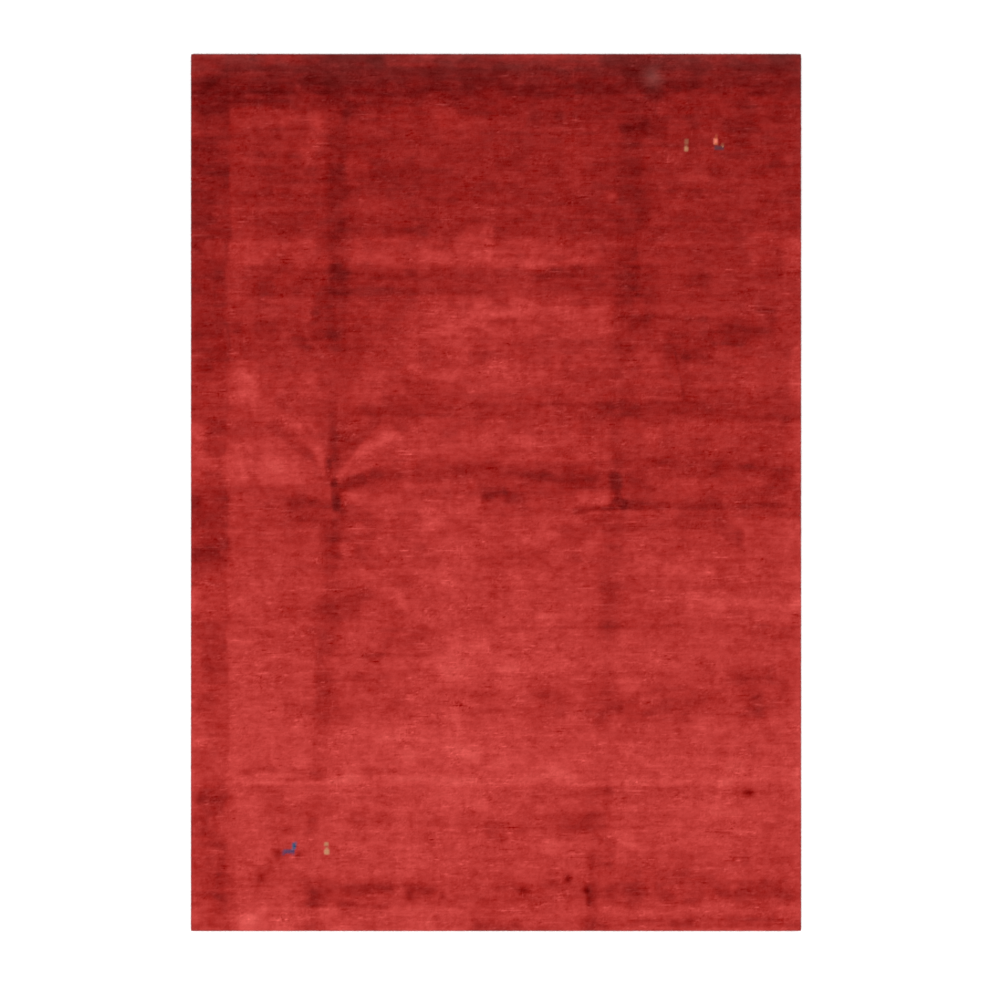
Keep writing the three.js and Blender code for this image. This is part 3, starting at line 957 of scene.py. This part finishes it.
def wool_glint():
    """Painted highlight and shade at each knot, in points: how much lighter or darker than its dye the wool
    looks from how it stands.
    """
    grain = sum(patch.lift * marks(patch) for patch in GRAIN)
    grain += rng.laplace(0, KNOT_LIFT / math.sqrt(2), X.shape)
    glint = grain * np.exp(stirred(COARSENESS))
    for patch in TUFTS:
        glint += patch.lift * patches(patch)
    glint += (1 - SPOT_DYED) * spot_lift()
    edge = np.minimum(HALF_WIDTH - np.abs(X), HALF_LENGTH - np.abs(Y))
    return glint + PARTINGS.lift * partings() + RIM_PAINTED_HIGHLIGHT * bell(edge, RIM_GLOW)


# Dust: the head of the rug is hazier, and there is one faint pale smudge.
HAZE_HEAD = 0.028
HAZE_REACH = 0.055
HAZE_PATCHES = Patch(0.050, 0.020, 0.3)
SMUDGE = Blot(0.411, 1.087, 0.023, 0.025, 0.09)


def dust_amount():
    haze = HAZE_HEAD * bell(HALF_LENGTH - Y, HAZE_REACH) * (1 + stirred(HAZE_PATCHES))
    spread = bell(np.hypot((X - SMUDGE.x) / SMUDGE.across, (Y - SMUDGE.y) / SMUDGE.along), 1.0)
    return np.clip(haze + SMUDGE.lift * spread, 0, 1)


class Figure(NamedTuple):
    """Part of a little woven figure: a block of knots in wool of another red, green and blue out of 255."""

    left: float
    right: float
    foot: float
    head: float
    strength: float
    wool: tuple


INDIGO = (66, 54, 86)
SLATE = (78, 84, 114)
VIOLET = (96, 50, 58)
CORAL = (234, 124, 104)
GOLD = (200, 104, 72)
SAND = (186, 130, 98)
OLIVE = (150, 86, 66)

FIGURES = (
    # A goat and a person near the foot.
    Figure(-0.556, -0.527, -0.945, -0.934, 0.95, INDIGO),
    Figure(-0.560, -0.552, -0.950, -0.936, 0.60, INDIGO),
    Figure(-0.536, -0.527, -0.950, -0.943, 0.45, INDIGO),
    Figure(-0.534, -0.524, -0.935, -0.917, 0.95, SLATE),
    Figure(-0.529, -0.521, -0.924, -0.914, 0.55, SLATE),
    Figure(-0.450, -0.439, -0.927, -0.916, 0.80, SAND),
    Figure(-0.447, -0.440, -0.935, -0.926, 0.75, OLIVE),
    Figure(-0.450, -0.437, -0.948, -0.934, 0.95, SAND),
    # A person and a goat near the head.
    Figure(0.494, 0.504, 0.912, 0.926, 0.85, OLIVE),
    Figure(0.494, 0.502, 0.904, 0.912, 0.60, OLIVE),
    Figure(0.493, 0.503, 0.894, 0.905, 0.85, SAND),
    Figure(0.570, 0.580, 0.911, 0.928, 0.95, CORAL),
    Figure(0.574, 0.580, 0.926, 0.938, 0.30, GOLD),
    Figure(0.574, 0.581, 0.906, 0.913, 0.70, GOLD),
    Figure(0.572, 0.597, 0.897, 0.908, 0.95, VIOLET),
    Figure(0.590, 0.597, 0.908, 0.915, 0.25, SAND),
)
FIGURE_SOFT = 0.0030  # how softly a block goes over into the wool beside it
FIGURE_FROM = 0.02  # a knot that shows less of a figure than this keeps the colour that it has


def from_screen(colour):
    """A colour of red, green and blue out of 255, as Blender wants it."""
    shares = np.array(colour, float) / 255
    light = np.where(shares <= 0.04045, shares / 12.92, ((shares + 0.055) / 1.055) ** 2.4)
    return (*light, 1.0)


def figure_wool():
    """Colour of the figures' wool at each knot, with how much of it shows as the fourth number."""
    colours = np.zeros((ROWS, COLUMNS, 4))
    for part in FIGURES:
        block = Bar(part.left, part.right, part.foot, part.head, FIGURE_SOFT, part.strength)
        shown = bar_lift(block, X, Y)[..., None]
        wool = np.array(from_screen(part.wool)[:3])
        colours[..., :3] += (wool - colours[..., :3]) * (shown > FIGURE_FROM)
        colours[..., 3:] = np.maximum(colours[..., 3:], shown)
    return colours


# Lightness from the dye with painted fold shading, and the painted highlight and shade of how the wool
# stands.
DYE_AND_SHADE = wool_dye_and_shade()
LIGHTNESS = np.clip((DYE_AND_SHADE - DARKEST) / (LIGHTEST - DARKEST), 0, 1)
GLINT = wool_glint() * (DYE_AND_SHADE / MIDDLE) ** GLINT_GROWTH
DUST = dust_amount()
FIGURE_WOOL = figure_wool()


# The pile's surface: the folds and swells, then the unevenness of hand-cut wool from knot to knot.
TUFT_RELIEF = (
    Patch(0.040, 0.022, 0.00020),
    Patch(0.012, 0.007, 0.00016),
    Patch(0.0060, 0.0032, 0.00012),
)
TIP_RELIEF = 0.00009
TIP_SHIFT = 0.00035
TIP_SHIFT_MOST = 2  # times the usual shift


def pile_points():
    relief = TIP_RELIEF * rng.standard_normal(X.shape)
    for patch in TUFT_RELIEF:
        relief += stirred(patch)
    share = rim_share(X, HALF_WIDTH) * rim_share(Y, HALF_LENGTH)
    strays = np.clip(rng.standard_normal((2, *X.shape)), -TIP_SHIFT_MOST, TIP_SHIFT_MOST)
    shift = TIP_SHIFT * strays * share
    height = GROUND + (pile_height(X, Y) + relief) * share
    return np.stack([X + shift[0], Y + shift[1], height], axis=-1)


PILE_POINTS = pile_points()


def surface_normals(points):
    """Directions straight out of a surface whose points lie in rows and columns."""
    across = np.gradient(points, axis=1)
    along = np.gradient(points, axis=0)
    normals = np.cross(across, along)
    return normals / np.linalg.norm(normals, axis=-1, keepdims=True)


def new_piece(name, points, faces, finish):
    """A mesh object on the rug's body, from arrays of points and of faces, which all have as many sides."""
    mesh = bpy.data.meshes.new(name)
    mesh.vertices.add(len(points))
    mesh.vertices.foreach_set("co", points.astype(np.float32).ravel())
    sides = faces.shape[1]
    mesh.loops.add(faces.size)
    mesh.loops.foreach_set("vertex_index", faces.astype(np.int32).ravel())
    mesh.polygons.add(len(faces))
    mesh.polygons.foreach_set("loop_start", np.arange(0, faces.size, sides, dtype=np.int32))
    mesh.update(calc_edges=True)
    mesh.validate()
    mesh.materials.append(finish)
    piece = bpy.data.objects.new(name, mesh)
    bpy.context.scene.collection.objects.link(piece)
    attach(piece, "root")
    return piece


def paint(piece, lightness, glint, dust, figure):
    """Gives a piece the dye, painted light and shade, dust and figures of its points, for its finish to
    read.
    """
    mesh = piece.data
    for name, values in (("lightness", lightness), ("glint", glint), ("dust", dust)):
        layer = mesh.attributes.new(name, "FLOAT", "POINT")
        layer.data.foreach_set("value", values.astype(np.float32).ravel())
    layer = mesh.attributes.new("figure", "FLOAT_COLOR", "POINT")
    layer.data.foreach_set("color", figure.astype(np.float32).ravel())


def lay_out(piece, places):
    """Gives a piece the flat layout its looks are baked on: two numbers for each point."""
    mesh = piece.data
    corners = np.empty(len(mesh.loops), np.int32)
    mesh.loops.foreach_get("vertex_index", corners)
    layout = mesh.uv_layers.new(name="OFBake")
    layout.data.foreach_set("uv", places[corners].astype(np.float32).ravel())


def grid_faces(rows, columns):
    """The four-sided faces of points that lie in rows and columns."""
    numbers = np.arange(rows * columns).reshape(rows, columns)
    corners = [numbers[:-1, :-1], numbers[:-1, 1:], numbers[1:, 1:], numbers[1:, :-1]]
    return np.stack([corner.ravel() for corner in corners], axis=1)


# The finishes of the wool.
WOOL_SPECULAR = 0.04
WOOL_SHEEN = 0.08
WOOL_SHEEN_ROUGHNESS = 0.55
SHEEN_TINT = (255, 120, 108)
DUSTY = (190, 150, 142)

GLINT_STEP = (0.00465, 0.00098, 0.00092)  # what one point adds to the light of red, green and blue


# Shader maths, written as Python expressions.
class Link:
    """The output of a node in a finish."""

    def __init__(self, finish, socket):
        self.finish = finish
        self.socket = socket

    def maths(self, operation, *values):
        return self.finish.node("ShaderNodeMath", {"operation": operation}, dict(enumerate(values)))

    def __add__(self, other):
        return self.maths("ADD", self, other)

    def __radd__(self, other):
        return self.maths("ADD", other, self)

    def __sub__(self, other):
        return self.maths("SUBTRACT", self, other)

    def __rsub__(self, other):
        return self.maths("SUBTRACT", other, self)

    def __mul__(self, other):
        return self.maths("MULTIPLY", self, other)

    def __rmul__(self, other):
        return self.maths("MULTIPLY", other, self)


class Finish:
    """A material, and the one way in which its nodes are made."""

    def __init__(self, name):
        self.material = bpy.data.materials.new(name)
        self.material.use_nodes = True
        self.tree = self.material.node_tree
        self.tree.nodes.clear()

    def node(self, kind, settings=None, sockets=None, output=0):
        made = self.tree.nodes.new(kind)
        for name, value in (settings or {}).items():
            if name == "stops":
                self.set_stops(made.color_ramp, value)
            else:
                setattr(made, name, value)
        for name, value in (sockets or {}).items():
            if isinstance(value, Link):
                self.tree.links.new(value.socket, made.inputs[name])
            else:
                made.inputs[name].default_value = value
        return Link(self, made.outputs[output]) if made.outputs else made

    @staticmethod
    def set_stops(ramp, stops):
        while len(ramp.elements) < len(stops):
            ramp.elements.new(0.5)
        for element, (position, colour) in zip(ramp.elements, stops):
            element.position = position
            element.color = from_screen(colour)

    def place(self):
        return self.node("ShaderNodeTexCoord", output="Object")

    def stretched(self, place, x, y, z):
        """The place on the object, counted in steps of these sizes."""
        steps = (1 / x, 1 / y, 1 / z)
        return self.node("ShaderNodeVectorMath", {"operation": "MULTIPLY"}, {0: place, 1: steps})

    def noise(self, place, detail):
        return self.node("ShaderNodeTexNoise", {}, {"Vector": place, "Scale": 1.0, "Detail": detail})

    def glinting(self, colour, points):
        """A colour made lighter or darker by some points of painted highlight and shade."""
        sockets = {0: points, 1: GLINT_STEP, 2: colour}
        return self.node("ShaderNodeVectorMath", {"operation": "MULTIPLY_ADD"}, sockets)

    def blend(self, share, first, second):
        """One colour going over into another. Sockets 6 and 7 are the two colours of a Mix node."""
        sockets = {0: share, 6: first, 7: second}
        return self.node("ShaderNodeMix", {"data_type": "RGBA"}, sockets, output=2)

    def wool_shader(self, colour, roughness, height, relief):
        bump = self.node("ShaderNodeBump", {}, {"Strength": 1.0, "Distance": relief, "Height": height})
        shader = self.node(
            "ShaderNodeBsdfPrincipled",
            {},
            {
                "Base Color": colour,
                "Roughness": roughness,
                "Specular IOR Level": WOOL_SPECULAR,
                "Sheen Weight": WOOL_SHEEN,
                "Sheen Roughness": WOOL_SHEEN_ROUGHNESS,
                "Sheen Tint": from_screen(SHEEN_TINT),
                "Normal": bump,
            },
        )
        self.node("ShaderNodeOutputMaterial", {}, {"Surface": shader})
        return self.material


# The madder dye, from the darkest wool to the lightest.
MADDER = (
    (0.00, (87, 6, 5)),
    (0.15, (109, 17, 16)),
    (0.35, (142, 30, 27)),
    (0.55, (165, 44, 40)),
    (0.75, (184, 59, 55)),
    (1.00, (204, 79, 74)),
)


# Textures of the pile: their sizes across, along and upwards, and how many points they move the wool.
KNOT_STRAY = 0.75  # how far the knots stand from a regular grid, from 0 to 1
TIP_SIZE = (0.0016, 0.0010, 0.0013)
FIBRE_SIZE = (0.00045, 0.00035, 0.0004)
ROW_SIZE = (0.030, 0.0019, 0.010)
TIP_GLINT = 13.0
FIBRE_GLINT = 8.0
ROW_GLINT = 6.0
GAP_PAINTED_SHADE = 7.0
GAP_MIDDLE = 0.42  # how far from a knot's middle it is neither light nor dark, in knots
PILE_ROUGHNESS = 0.90
PILE_ROUGHNESS_STRAY = 0.12
KNOT_CROWN = 0.55
TIP_HEIGHT = 0.9
FIBRE_HEIGHT = 0.5
PILE_BUMP = 0.0007


def wool_pile_finish():
    """Cut wool: knot tips with painted shade in the gaps between them, fine fibres, and painted sheen that
    strays knot by knot.
    """
    wool = Finish("wool_pile")
    place = wool.place()
    knots = wool.node(
        "ShaderNodeTexVoronoi",
        {"feature": "F1"},
        {"Vector": wool.stretched(place, KNOT, KNOT, KNOT), "Scale": 1.0, "Randomness": KNOT_STRAY},
    )
    tips = wool.noise(wool.stretched(place, *TIP_SIZE), detail=3.0)
    fibres = wool.noise(wool.stretched(place, *FIBRE_SIZE), detail=1.0)
    rows = wool.noise(wool.stretched(place, *ROW_SIZE), detail=2.0)
    lightness = wool.node("ShaderNodeAttribute", {"attribute_name": "lightness"}, output="Fac")
    dust = wool.node("ShaderNodeAttribute", {"attribute_name": "dust"}, output="Fac")
    figure = wool.node("ShaderNodeAttribute", {"attribute_name": "figure"}, output="Color")
    shown = wool.node("ShaderNodeAttribute", {"attribute_name": "figure"}, output="Alpha")
    glint = wool.node("ShaderNodeAttribute", {"attribute_name": "glint"}, output="Fac")

    # Painted highlight and shade from the tips, fibres and rows, and painted shade in the gaps between the
    # knots.
    stray = (tips - 0.5) * TIP_GLINT + (fibres - 0.5) * FIBRE_GLINT + (rows - 0.5) * ROW_GLINT
    stray = stray + (GAP_MIDDLE - knots) * GAP_PAINTED_SHADE
    dyed = wool.node("ShaderNodeValToRGB", {"stops": MADDER}, {"Fac": lightness})
    worn = wool.blend(dust, dyed, from_screen(DUSTY))
    colour = wool.glinting(wool.blend(shown, worn, figure), glint + stray)
    roughness = PILE_ROUGHNESS + (tips - 0.5) * PILE_ROUGHNESS_STRAY
    height = (KNOT_CROWN - knots) + (tips - 0.5) * TIP_HEIGHT + (fibres - 0.5) * FIBRE_HEIGHT
    return wool.wool_shader(colour, roughness, height, PILE_BUMP)


# Textures of the ground's underside.
ROW_WAVE = math.pi / (10 * KNOT)  # a wave texture of scale 1 repeats every pi / 10
ROW_BEND = 0.6
BACK_STRAY = 0.35
LOT_SIZE = (0.25, 0.02, 0.1)
LOT_SHADE = 0.5
ROW_SHADE = 0.25
BACK_SHADE = 0.25
GROUND_ROUGHNESS = 0.86
GROUND_ROUGHNESS_STRAY = 0.15
GROUND_BUMP = 0.0006


def woven_ground_finish():
    """The back of the knots: rows of small ridges across the rug, with the weft between them."""
    wool = Finish("woven_ground")
    place = wool.place()
    rows = wool.node(
        "ShaderNodeTexWave",
        {"bands_direction": "Y", "wave_profile": "SIN"},
        {"Vector": place, "Scale": ROW_WAVE, "Distortion": ROW_BEND, "Detail": 1.0},
        output="Fac",
    )
    knots = wool.node(
        "ShaderNodeTexVoronoi",
        {"feature": "F1"},
        {"Vector": wool.stretched(place, KNOT, KNOT, KNOT), "Scale": 1.0, "Randomness": BACK_STRAY},
    )
    lots = wool.noise(wool.stretched(place, *LOT_SIZE), detail=3.0)
    # Painted shade: darker in the gaps between the knots and between the ridges of the rows, over the dye
    # lots.
    shade = lots * LOT_SHADE + rows * ROW_SHADE + (0.5 - knots) * BACK_SHADE
    colour = wool.node("ShaderNodeValToRGB", {"stops": MADDER}, {"Fac": shade})
    roughness = GROUND_ROUGHNESS + (lots - 0.5) * GROUND_ROUGHNESS_STRAY
    return wool.wool_shader(colour, roughness, rows + (0.5 - knots), GROUND_BUMP)


WOOL_PILE = wool_pile_finish()
WOVEN_GROUND = woven_ground_finish()


# The pile, in bands along the rug that share their points and normals where they meet.
def turned_length(points, axis):
    """Length along the surface up to each point, so that the rounded rim has room in the layout."""
    steps = np.linalg.norm(np.diff(points, axis=axis), axis=-1).mean(axis=1 - axis)
    return np.concatenate([[0.0], np.cumsum(steps)])


def make_pile():
    normals = surface_normals(PILE_POINTS)
    from_left = turned_length(PILE_POINTS, axis=1)
    from_foot = turned_length(PILE_POINTS, axis=0)
    cuts = np.linspace(0, ROWS - 1, BANDS + 1).round().astype(int)
    bands = []
    for number, (first, last) in enumerate(zip(cuts[:-1], cuts[1:]), start=1):
        rows = slice(first, last + 1)
        count = last + 1 - first
        points = PILE_POINTS[rows].reshape(-1, 3)
        band = new_piece(f"pile_band_{number}", points, grid_faces(count, COLUMNS), WOOL_PILE)
        band.data.normals_split_custom_set_from_vertices(normals[rows].reshape(-1, 3))
        paint(band, LIGHTNESS[rows], GLINT[rows], DUST[rows], FIGURE_WOOL[rows])
        u, v = np.meshgrid(from_left, from_foot[rows] - from_foot[first])
        lay_out(band, np.stack([u.ravel(), v.ravel()], axis=1) / from_left[-1])
        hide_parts("rug")
        bands.append(band)
    return bands


# The locks of wool that stand out round the rim, in rows one above the other.
class LockRow(NamedTuple):
    """A row of locks: how far round the rim its roots stand and how far its locks lift, in degrees."""

    turn: float
    lift: float
    length: float


LOCK_ROWS = (
    LockRow(86, 8, 0.0044),
    LockRow(64, 28, 0.0044),
    LockRow(40, 52, 0.0040),
)
LOCK_SIDES = 3
LOCK_ROOT = 0.0016  # half as wide as a lock at its root
LOCK_TIP = 0.0006  # and at its tip
LOCK_SUNK = 0.0032  # how far a lock's root sits inside the pile
LOCK_SWAY = 14.0  # degrees
LOCK_TURN_STRAY = 0.12  # radians
LOCK_LENGTH_STRAY = 0.18  # of its length
LOCK_PROUD = 0.0004  # the middle of a lock's tip stands at most this far out of the rug's outline
LOCK_LIMIT = np.array([HALF_WIDTH + LOCK_PROUD, HALF_LENGTH + LOCK_PROUD])
LOCK_LOWEST = 0.0006  # no lock hangs lower above the floor
CORNER_LOCKS = 4  # in each row, at each corner


def rim_walk():
    """Places round the outline a knot apart, with the way out of the rug at each."""
    inner_x = HALF_WIDTH - RIM
    inner_y = HALF_LENGTH - RIM
    across = np.linspace(-inner_x, inner_x, round(2 * inner_x / KNOT))
    along = np.linspace(-inner_y, inner_y, round(2 * inner_y / KNOT))
    sides = []
    for side in (-1, 1):
        foot_or_head = np.stack([across, np.full_like(across, side * inner_y)], axis=1)
        left_or_right = np.stack([np.full_like(along, side * inner_x), along], axis=1)
        sides.append((foot_or_head, np.tile([0.0, side], (len(across), 1))))
        sides.append((left_or_right, np.tile([side, 0.0], (len(along), 1))))
    corner_turns = np.linspace(0, math.pi / 2, CORNER_LOCKS + 2)[1:-1]
    for side_x, side_y in ((-1, -1), (-1, 1), (1, -1), (1, 1)):
        ways = np.stack([side_x * np.cos(corner_turns), side_y * np.sin(corner_turns)], axis=1)
        sides.append((np.tile([side_x * inner_x, side_y * inner_y], (len(ways), 1)), ways))
    return np.concatenate([place for place, _ in sides]), np.concatenate([way for _, way in sides])


def lock_rings(row, places, ways):
    """Root and tip rings of one row of locks, as an array of locks by rings by sides by three."""
    count = len(places)
    stray = rng.uniform(-1, 1, (4, count))
    turn = math.radians(row.turn) + LOCK_TURN_STRAY * stray[0]
    lift = np.radians(row.lift + LOCK_SWAY * stray[1])
    aside = np.radians(LOCK_SWAY * stray[2])
    outwards = np.column_stack([ways, np.zeros(count)])
    sideways = np.column_stack([-ways[:, 1], ways[:, 0], np.zeros(count)])
    upwards = np.array([0.0, 0.0, 1.0])
    height = pile_height(places[:, 0], places[:, 1])
    surface = np.column_stack([places, np.full(count, GROUND)])
    surface = surface + outwards * (RIM * np.sin(turn))[:, None]
    surface = surface + upwards * (height * np.cos(turn))[:, None]
    lean = outwards * (np.cos(lift) * np.cos(aside))[:, None]
    lean = lean + sideways * (np.cos(lift) * np.sin(aside))[:, None] + upwards * np.sin(lift)[:, None]
    length = row.length * (1 + LOCK_LENGTH_STRAY * stray[3])
    root = surface - lean * LOCK_SUNK
    tip = root + lean * length[:, None]
    tip[:, :2] = np.clip(tip[:, :2], -LOCK_LIMIT, LOCK_LIMIT)
    upright = np.cross(lean, sideways)
    rings = np.empty((count, 2, LOCK_SIDES, 3))
    for side in range(LOCK_SIDES):
        around = 2 * math.pi * side / LOCK_SIDES
        spoke = sideways * math.cos(around) + upright * math.sin(around)
        rings[:, 0, side] = root + spoke * LOCK_ROOT
        rings[:, 1, side] = tip + spoke * LOCK_TIP
    return rings


DYED_FROM = 2  # how many knots in from the edge a lock takes its dye, at least
CELL_MARGIN = 0.1  # bare share of a lock's cell in the layout, on each side


def nearest_knots(lines, places):
    return np.clip(np.searchsorted(lines, places), DYED_FROM, len(lines) - 1 - DYED_FROM)


def make_rim_locks():
    places, ways = rim_walk()
    rings = np.concatenate([lock_rings(row, places, ways) for row in LOCK_ROWS])
    rings[..., 2] = np.maximum(rings[..., 2], LOCK_LOWEST)
    count = len(rings)
    points = rings.reshape(-1, 3)
    sides = np.arange(LOCK_SIDES)
    ahead = (sides + 1) % LOCK_SIDES
    walls = np.stack([sides, ahead, ahead + LOCK_SIDES, sides + LOCK_SIDES], axis=1)
    starts = np.arange(count) * 2 * LOCK_SIDES
    faces = (walls[None] + starts[:, None, None]).reshape(-1, 4)
    locks = new_piece("rim_locks", points, faces, WOOL_PILE)
    columns = nearest_knots(KNOTS_ACROSS, points[:, 0])
    rows = nearest_knots(KNOTS_ALONG, points[:, 1])
    at = (rows, columns)
    paint(locks, LIGHTNESS[at], GLINT[at], DUST[at], np.zeros((len(points), 4)))
    per_line = math.ceil(math.sqrt(count))
    cell = 1 / per_line
    lock_number = np.repeat(np.arange(count), 2 * LOCK_SIDES)
    corner = np.tile(np.arange(2 * LOCK_SIDES), count)
    filled = 1 - 2 * CELL_MARGIN
    u = (lock_number % per_line + CELL_MARGIN + filled * (corner % LOCK_SIDES) / LOCK_SIDES) * cell
    v = (lock_number // per_line + CELL_MARGIN + filled * (corner // LOCK_SIDES)) * cell
    lay_out(locks, np.stack([u, v], axis=1))
    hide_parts("rug")
    return locks


# The woven ground under the pile: a flat slab with rounded edges.
GROUND_STEP = 0.025
GROUND_EDGE = 0.0014
GROUND_TURNS = 4  # points round the turn of its edge


def make_woven_ground():
    half_x = HALF_WIDTH - UNDERCUT / 2
    half_y = HALF_LENGTH - UNDERCUT / 2
    ring = GROUND_EDGE * (1 - np.cos(np.linspace(0, math.pi / 2, GROUND_TURNS)))
    lines = []
    for half in (half_x, half_y):
        inner = np.linspace(-(half - GROUND_EDGE), half - GROUND_EDGE, round(2 * half / GROUND_STEP))
        lines.append(np.concatenate([(-half + ring)[:-1], inner, (half - ring[::-1])[1:]]))
    x, y = np.meshgrid(*lines)
    out_x = np.clip(np.abs(x) - (half_x - GROUND_EDGE), 0, GROUND_EDGE) / GROUND_EDGE
    out_y = np.clip(np.abs(y) - (half_y - GROUND_EDGE), 0, GROUND_EDGE) / GROUND_EDGE
    full = np.sqrt(np.clip(1 - out_x**2, 0, 1)) * np.sqrt(np.clip(1 - out_y**2, 0, 1))
    rows, columns = x.shape
    middle = GROUND / 2
    upper = np.stack([x, y, middle + middle * full], axis=-1).reshape(-1, 3)
    lower = np.stack([x, y, middle - middle * full], axis=-1).reshape(-1, 3)
    faces = grid_faces(rows, columns)
    points = np.concatenate([upper, lower])
    faces = np.concatenate([faces, faces[:, ::-1] + len(upper)])
    ground = new_piece("woven_ground", points, faces, WOVEN_GROUND)
    ground.data.shade_smooth()
    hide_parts("rug")
    return ground


pile_bands = make_pile()
rim_locks = make_rim_locks()
woven_ground = make_woven_ground()

# The studio: a plain white floor, one broad soft light high above the rug, a little towards its foot and
# its left, and even light from all round.
FLOOR_SIZE = 14.0
FLOOR_WHITE = (252, 252, 252)
FLOOR_ROUGHNESS = 0.9
FLOOR_SPECULAR = 0.1
KEY_PLACE = Vector((-0.8, -1.6, 9.5))
KEY_SIZE = 5.0
KEY_POWER = 485.0
ROUND_LIGHT = 0.765


def make_floor():
    finish = Finish("floor_paint")
    shader = finish.node(
        "ShaderNodeBsdfPrincipled",
        {},
        {
            "Base Color": from_screen(FLOOR_WHITE),
            "Roughness": FLOOR_ROUGHNESS,
            "Specular IOR Level": FLOOR_SPECULAR,
        },
    )
    finish.node("ShaderNodeOutputMaterial", {}, {"Surface": shader})
    reach = FLOOR_SIZE / 2
    mesh = bpy.data.meshes.new("floor")
    corners = [(-reach, -reach, 0), (reach, -reach, 0), (reach, reach, 0), (-reach, reach, 0)]
    mesh.from_pydata(corners, [], [(0, 1, 2, 3)])
    mesh.materials.append(finish.material)
    floor = bpy.data.objects.new("floor", mesh)
    bpy.context.scene.collection.objects.link(floor)


def make_lights():
    key = bpy.data.objects.new("key_light", bpy.data.lights.new("key_light", "AREA"))
    key.data.size = KEY_SIZE
    key.data.energy = KEY_POWER
    key.location = KEY_PLACE
    key.rotation_euler = (-KEY_PLACE).to_track_quat("-Z", "Y").to_euler()
    bpy.context.scene.collection.objects.link(key)
    world = bpy.data.worlds.new("studio")
    world.use_nodes = True
    background = world.node_tree.nodes["Background"]
    background.inputs["Color"].default_value = (1, 1, 1, 1)
    background.inputs["Strength"].default_value = ROUND_LIGHT
    bpy.context.scene.world = world


# The camera looks straight down. The rug's outline in the photograph, in pixels, gives its height and aim.
IMAGE_PX = 992
RUG_LEFT_PX, RUG_RIGHT_PX = 191.2, 800.9
RUG_TOP_PX, RUG_BOTTOM_PX = 54.2, 930.9
LENS_MM = 85.0
SENSOR_MM = 36.0


def make_camera():
    metres_per_px = (WIDTH / (RUG_RIGHT_PX - RUG_LEFT_PX) + LENGTH / (RUG_BOTTOM_PX - RUG_TOP_PX)) / 2
    aim_x = (IMAGE_PX - RUG_LEFT_PX - RUG_RIGHT_PX) / 2 * metres_per_px
    aim_y = (RUG_TOP_PX + RUG_BOTTOM_PX - IMAGE_PX) / 2 * metres_per_px
    distance = IMAGE_PX * metres_per_px * LENS_MM / SENSOR_MM
    camera = bpy.data.objects.new("camera", bpy.data.cameras.new("camera"))
    camera.data.lens = LENS_MM
    camera.data.sensor_width = SENSOR_MM
    camera.location = (aim_x, aim_y, GROUND + distance)
    bpy.context.scene.collection.objects.link(camera)
    bpy.context.scene.camera = camera


make_floor()
make_lights()
make_camera()
bpy.context.scene.view_settings.view_transform = "Standard"
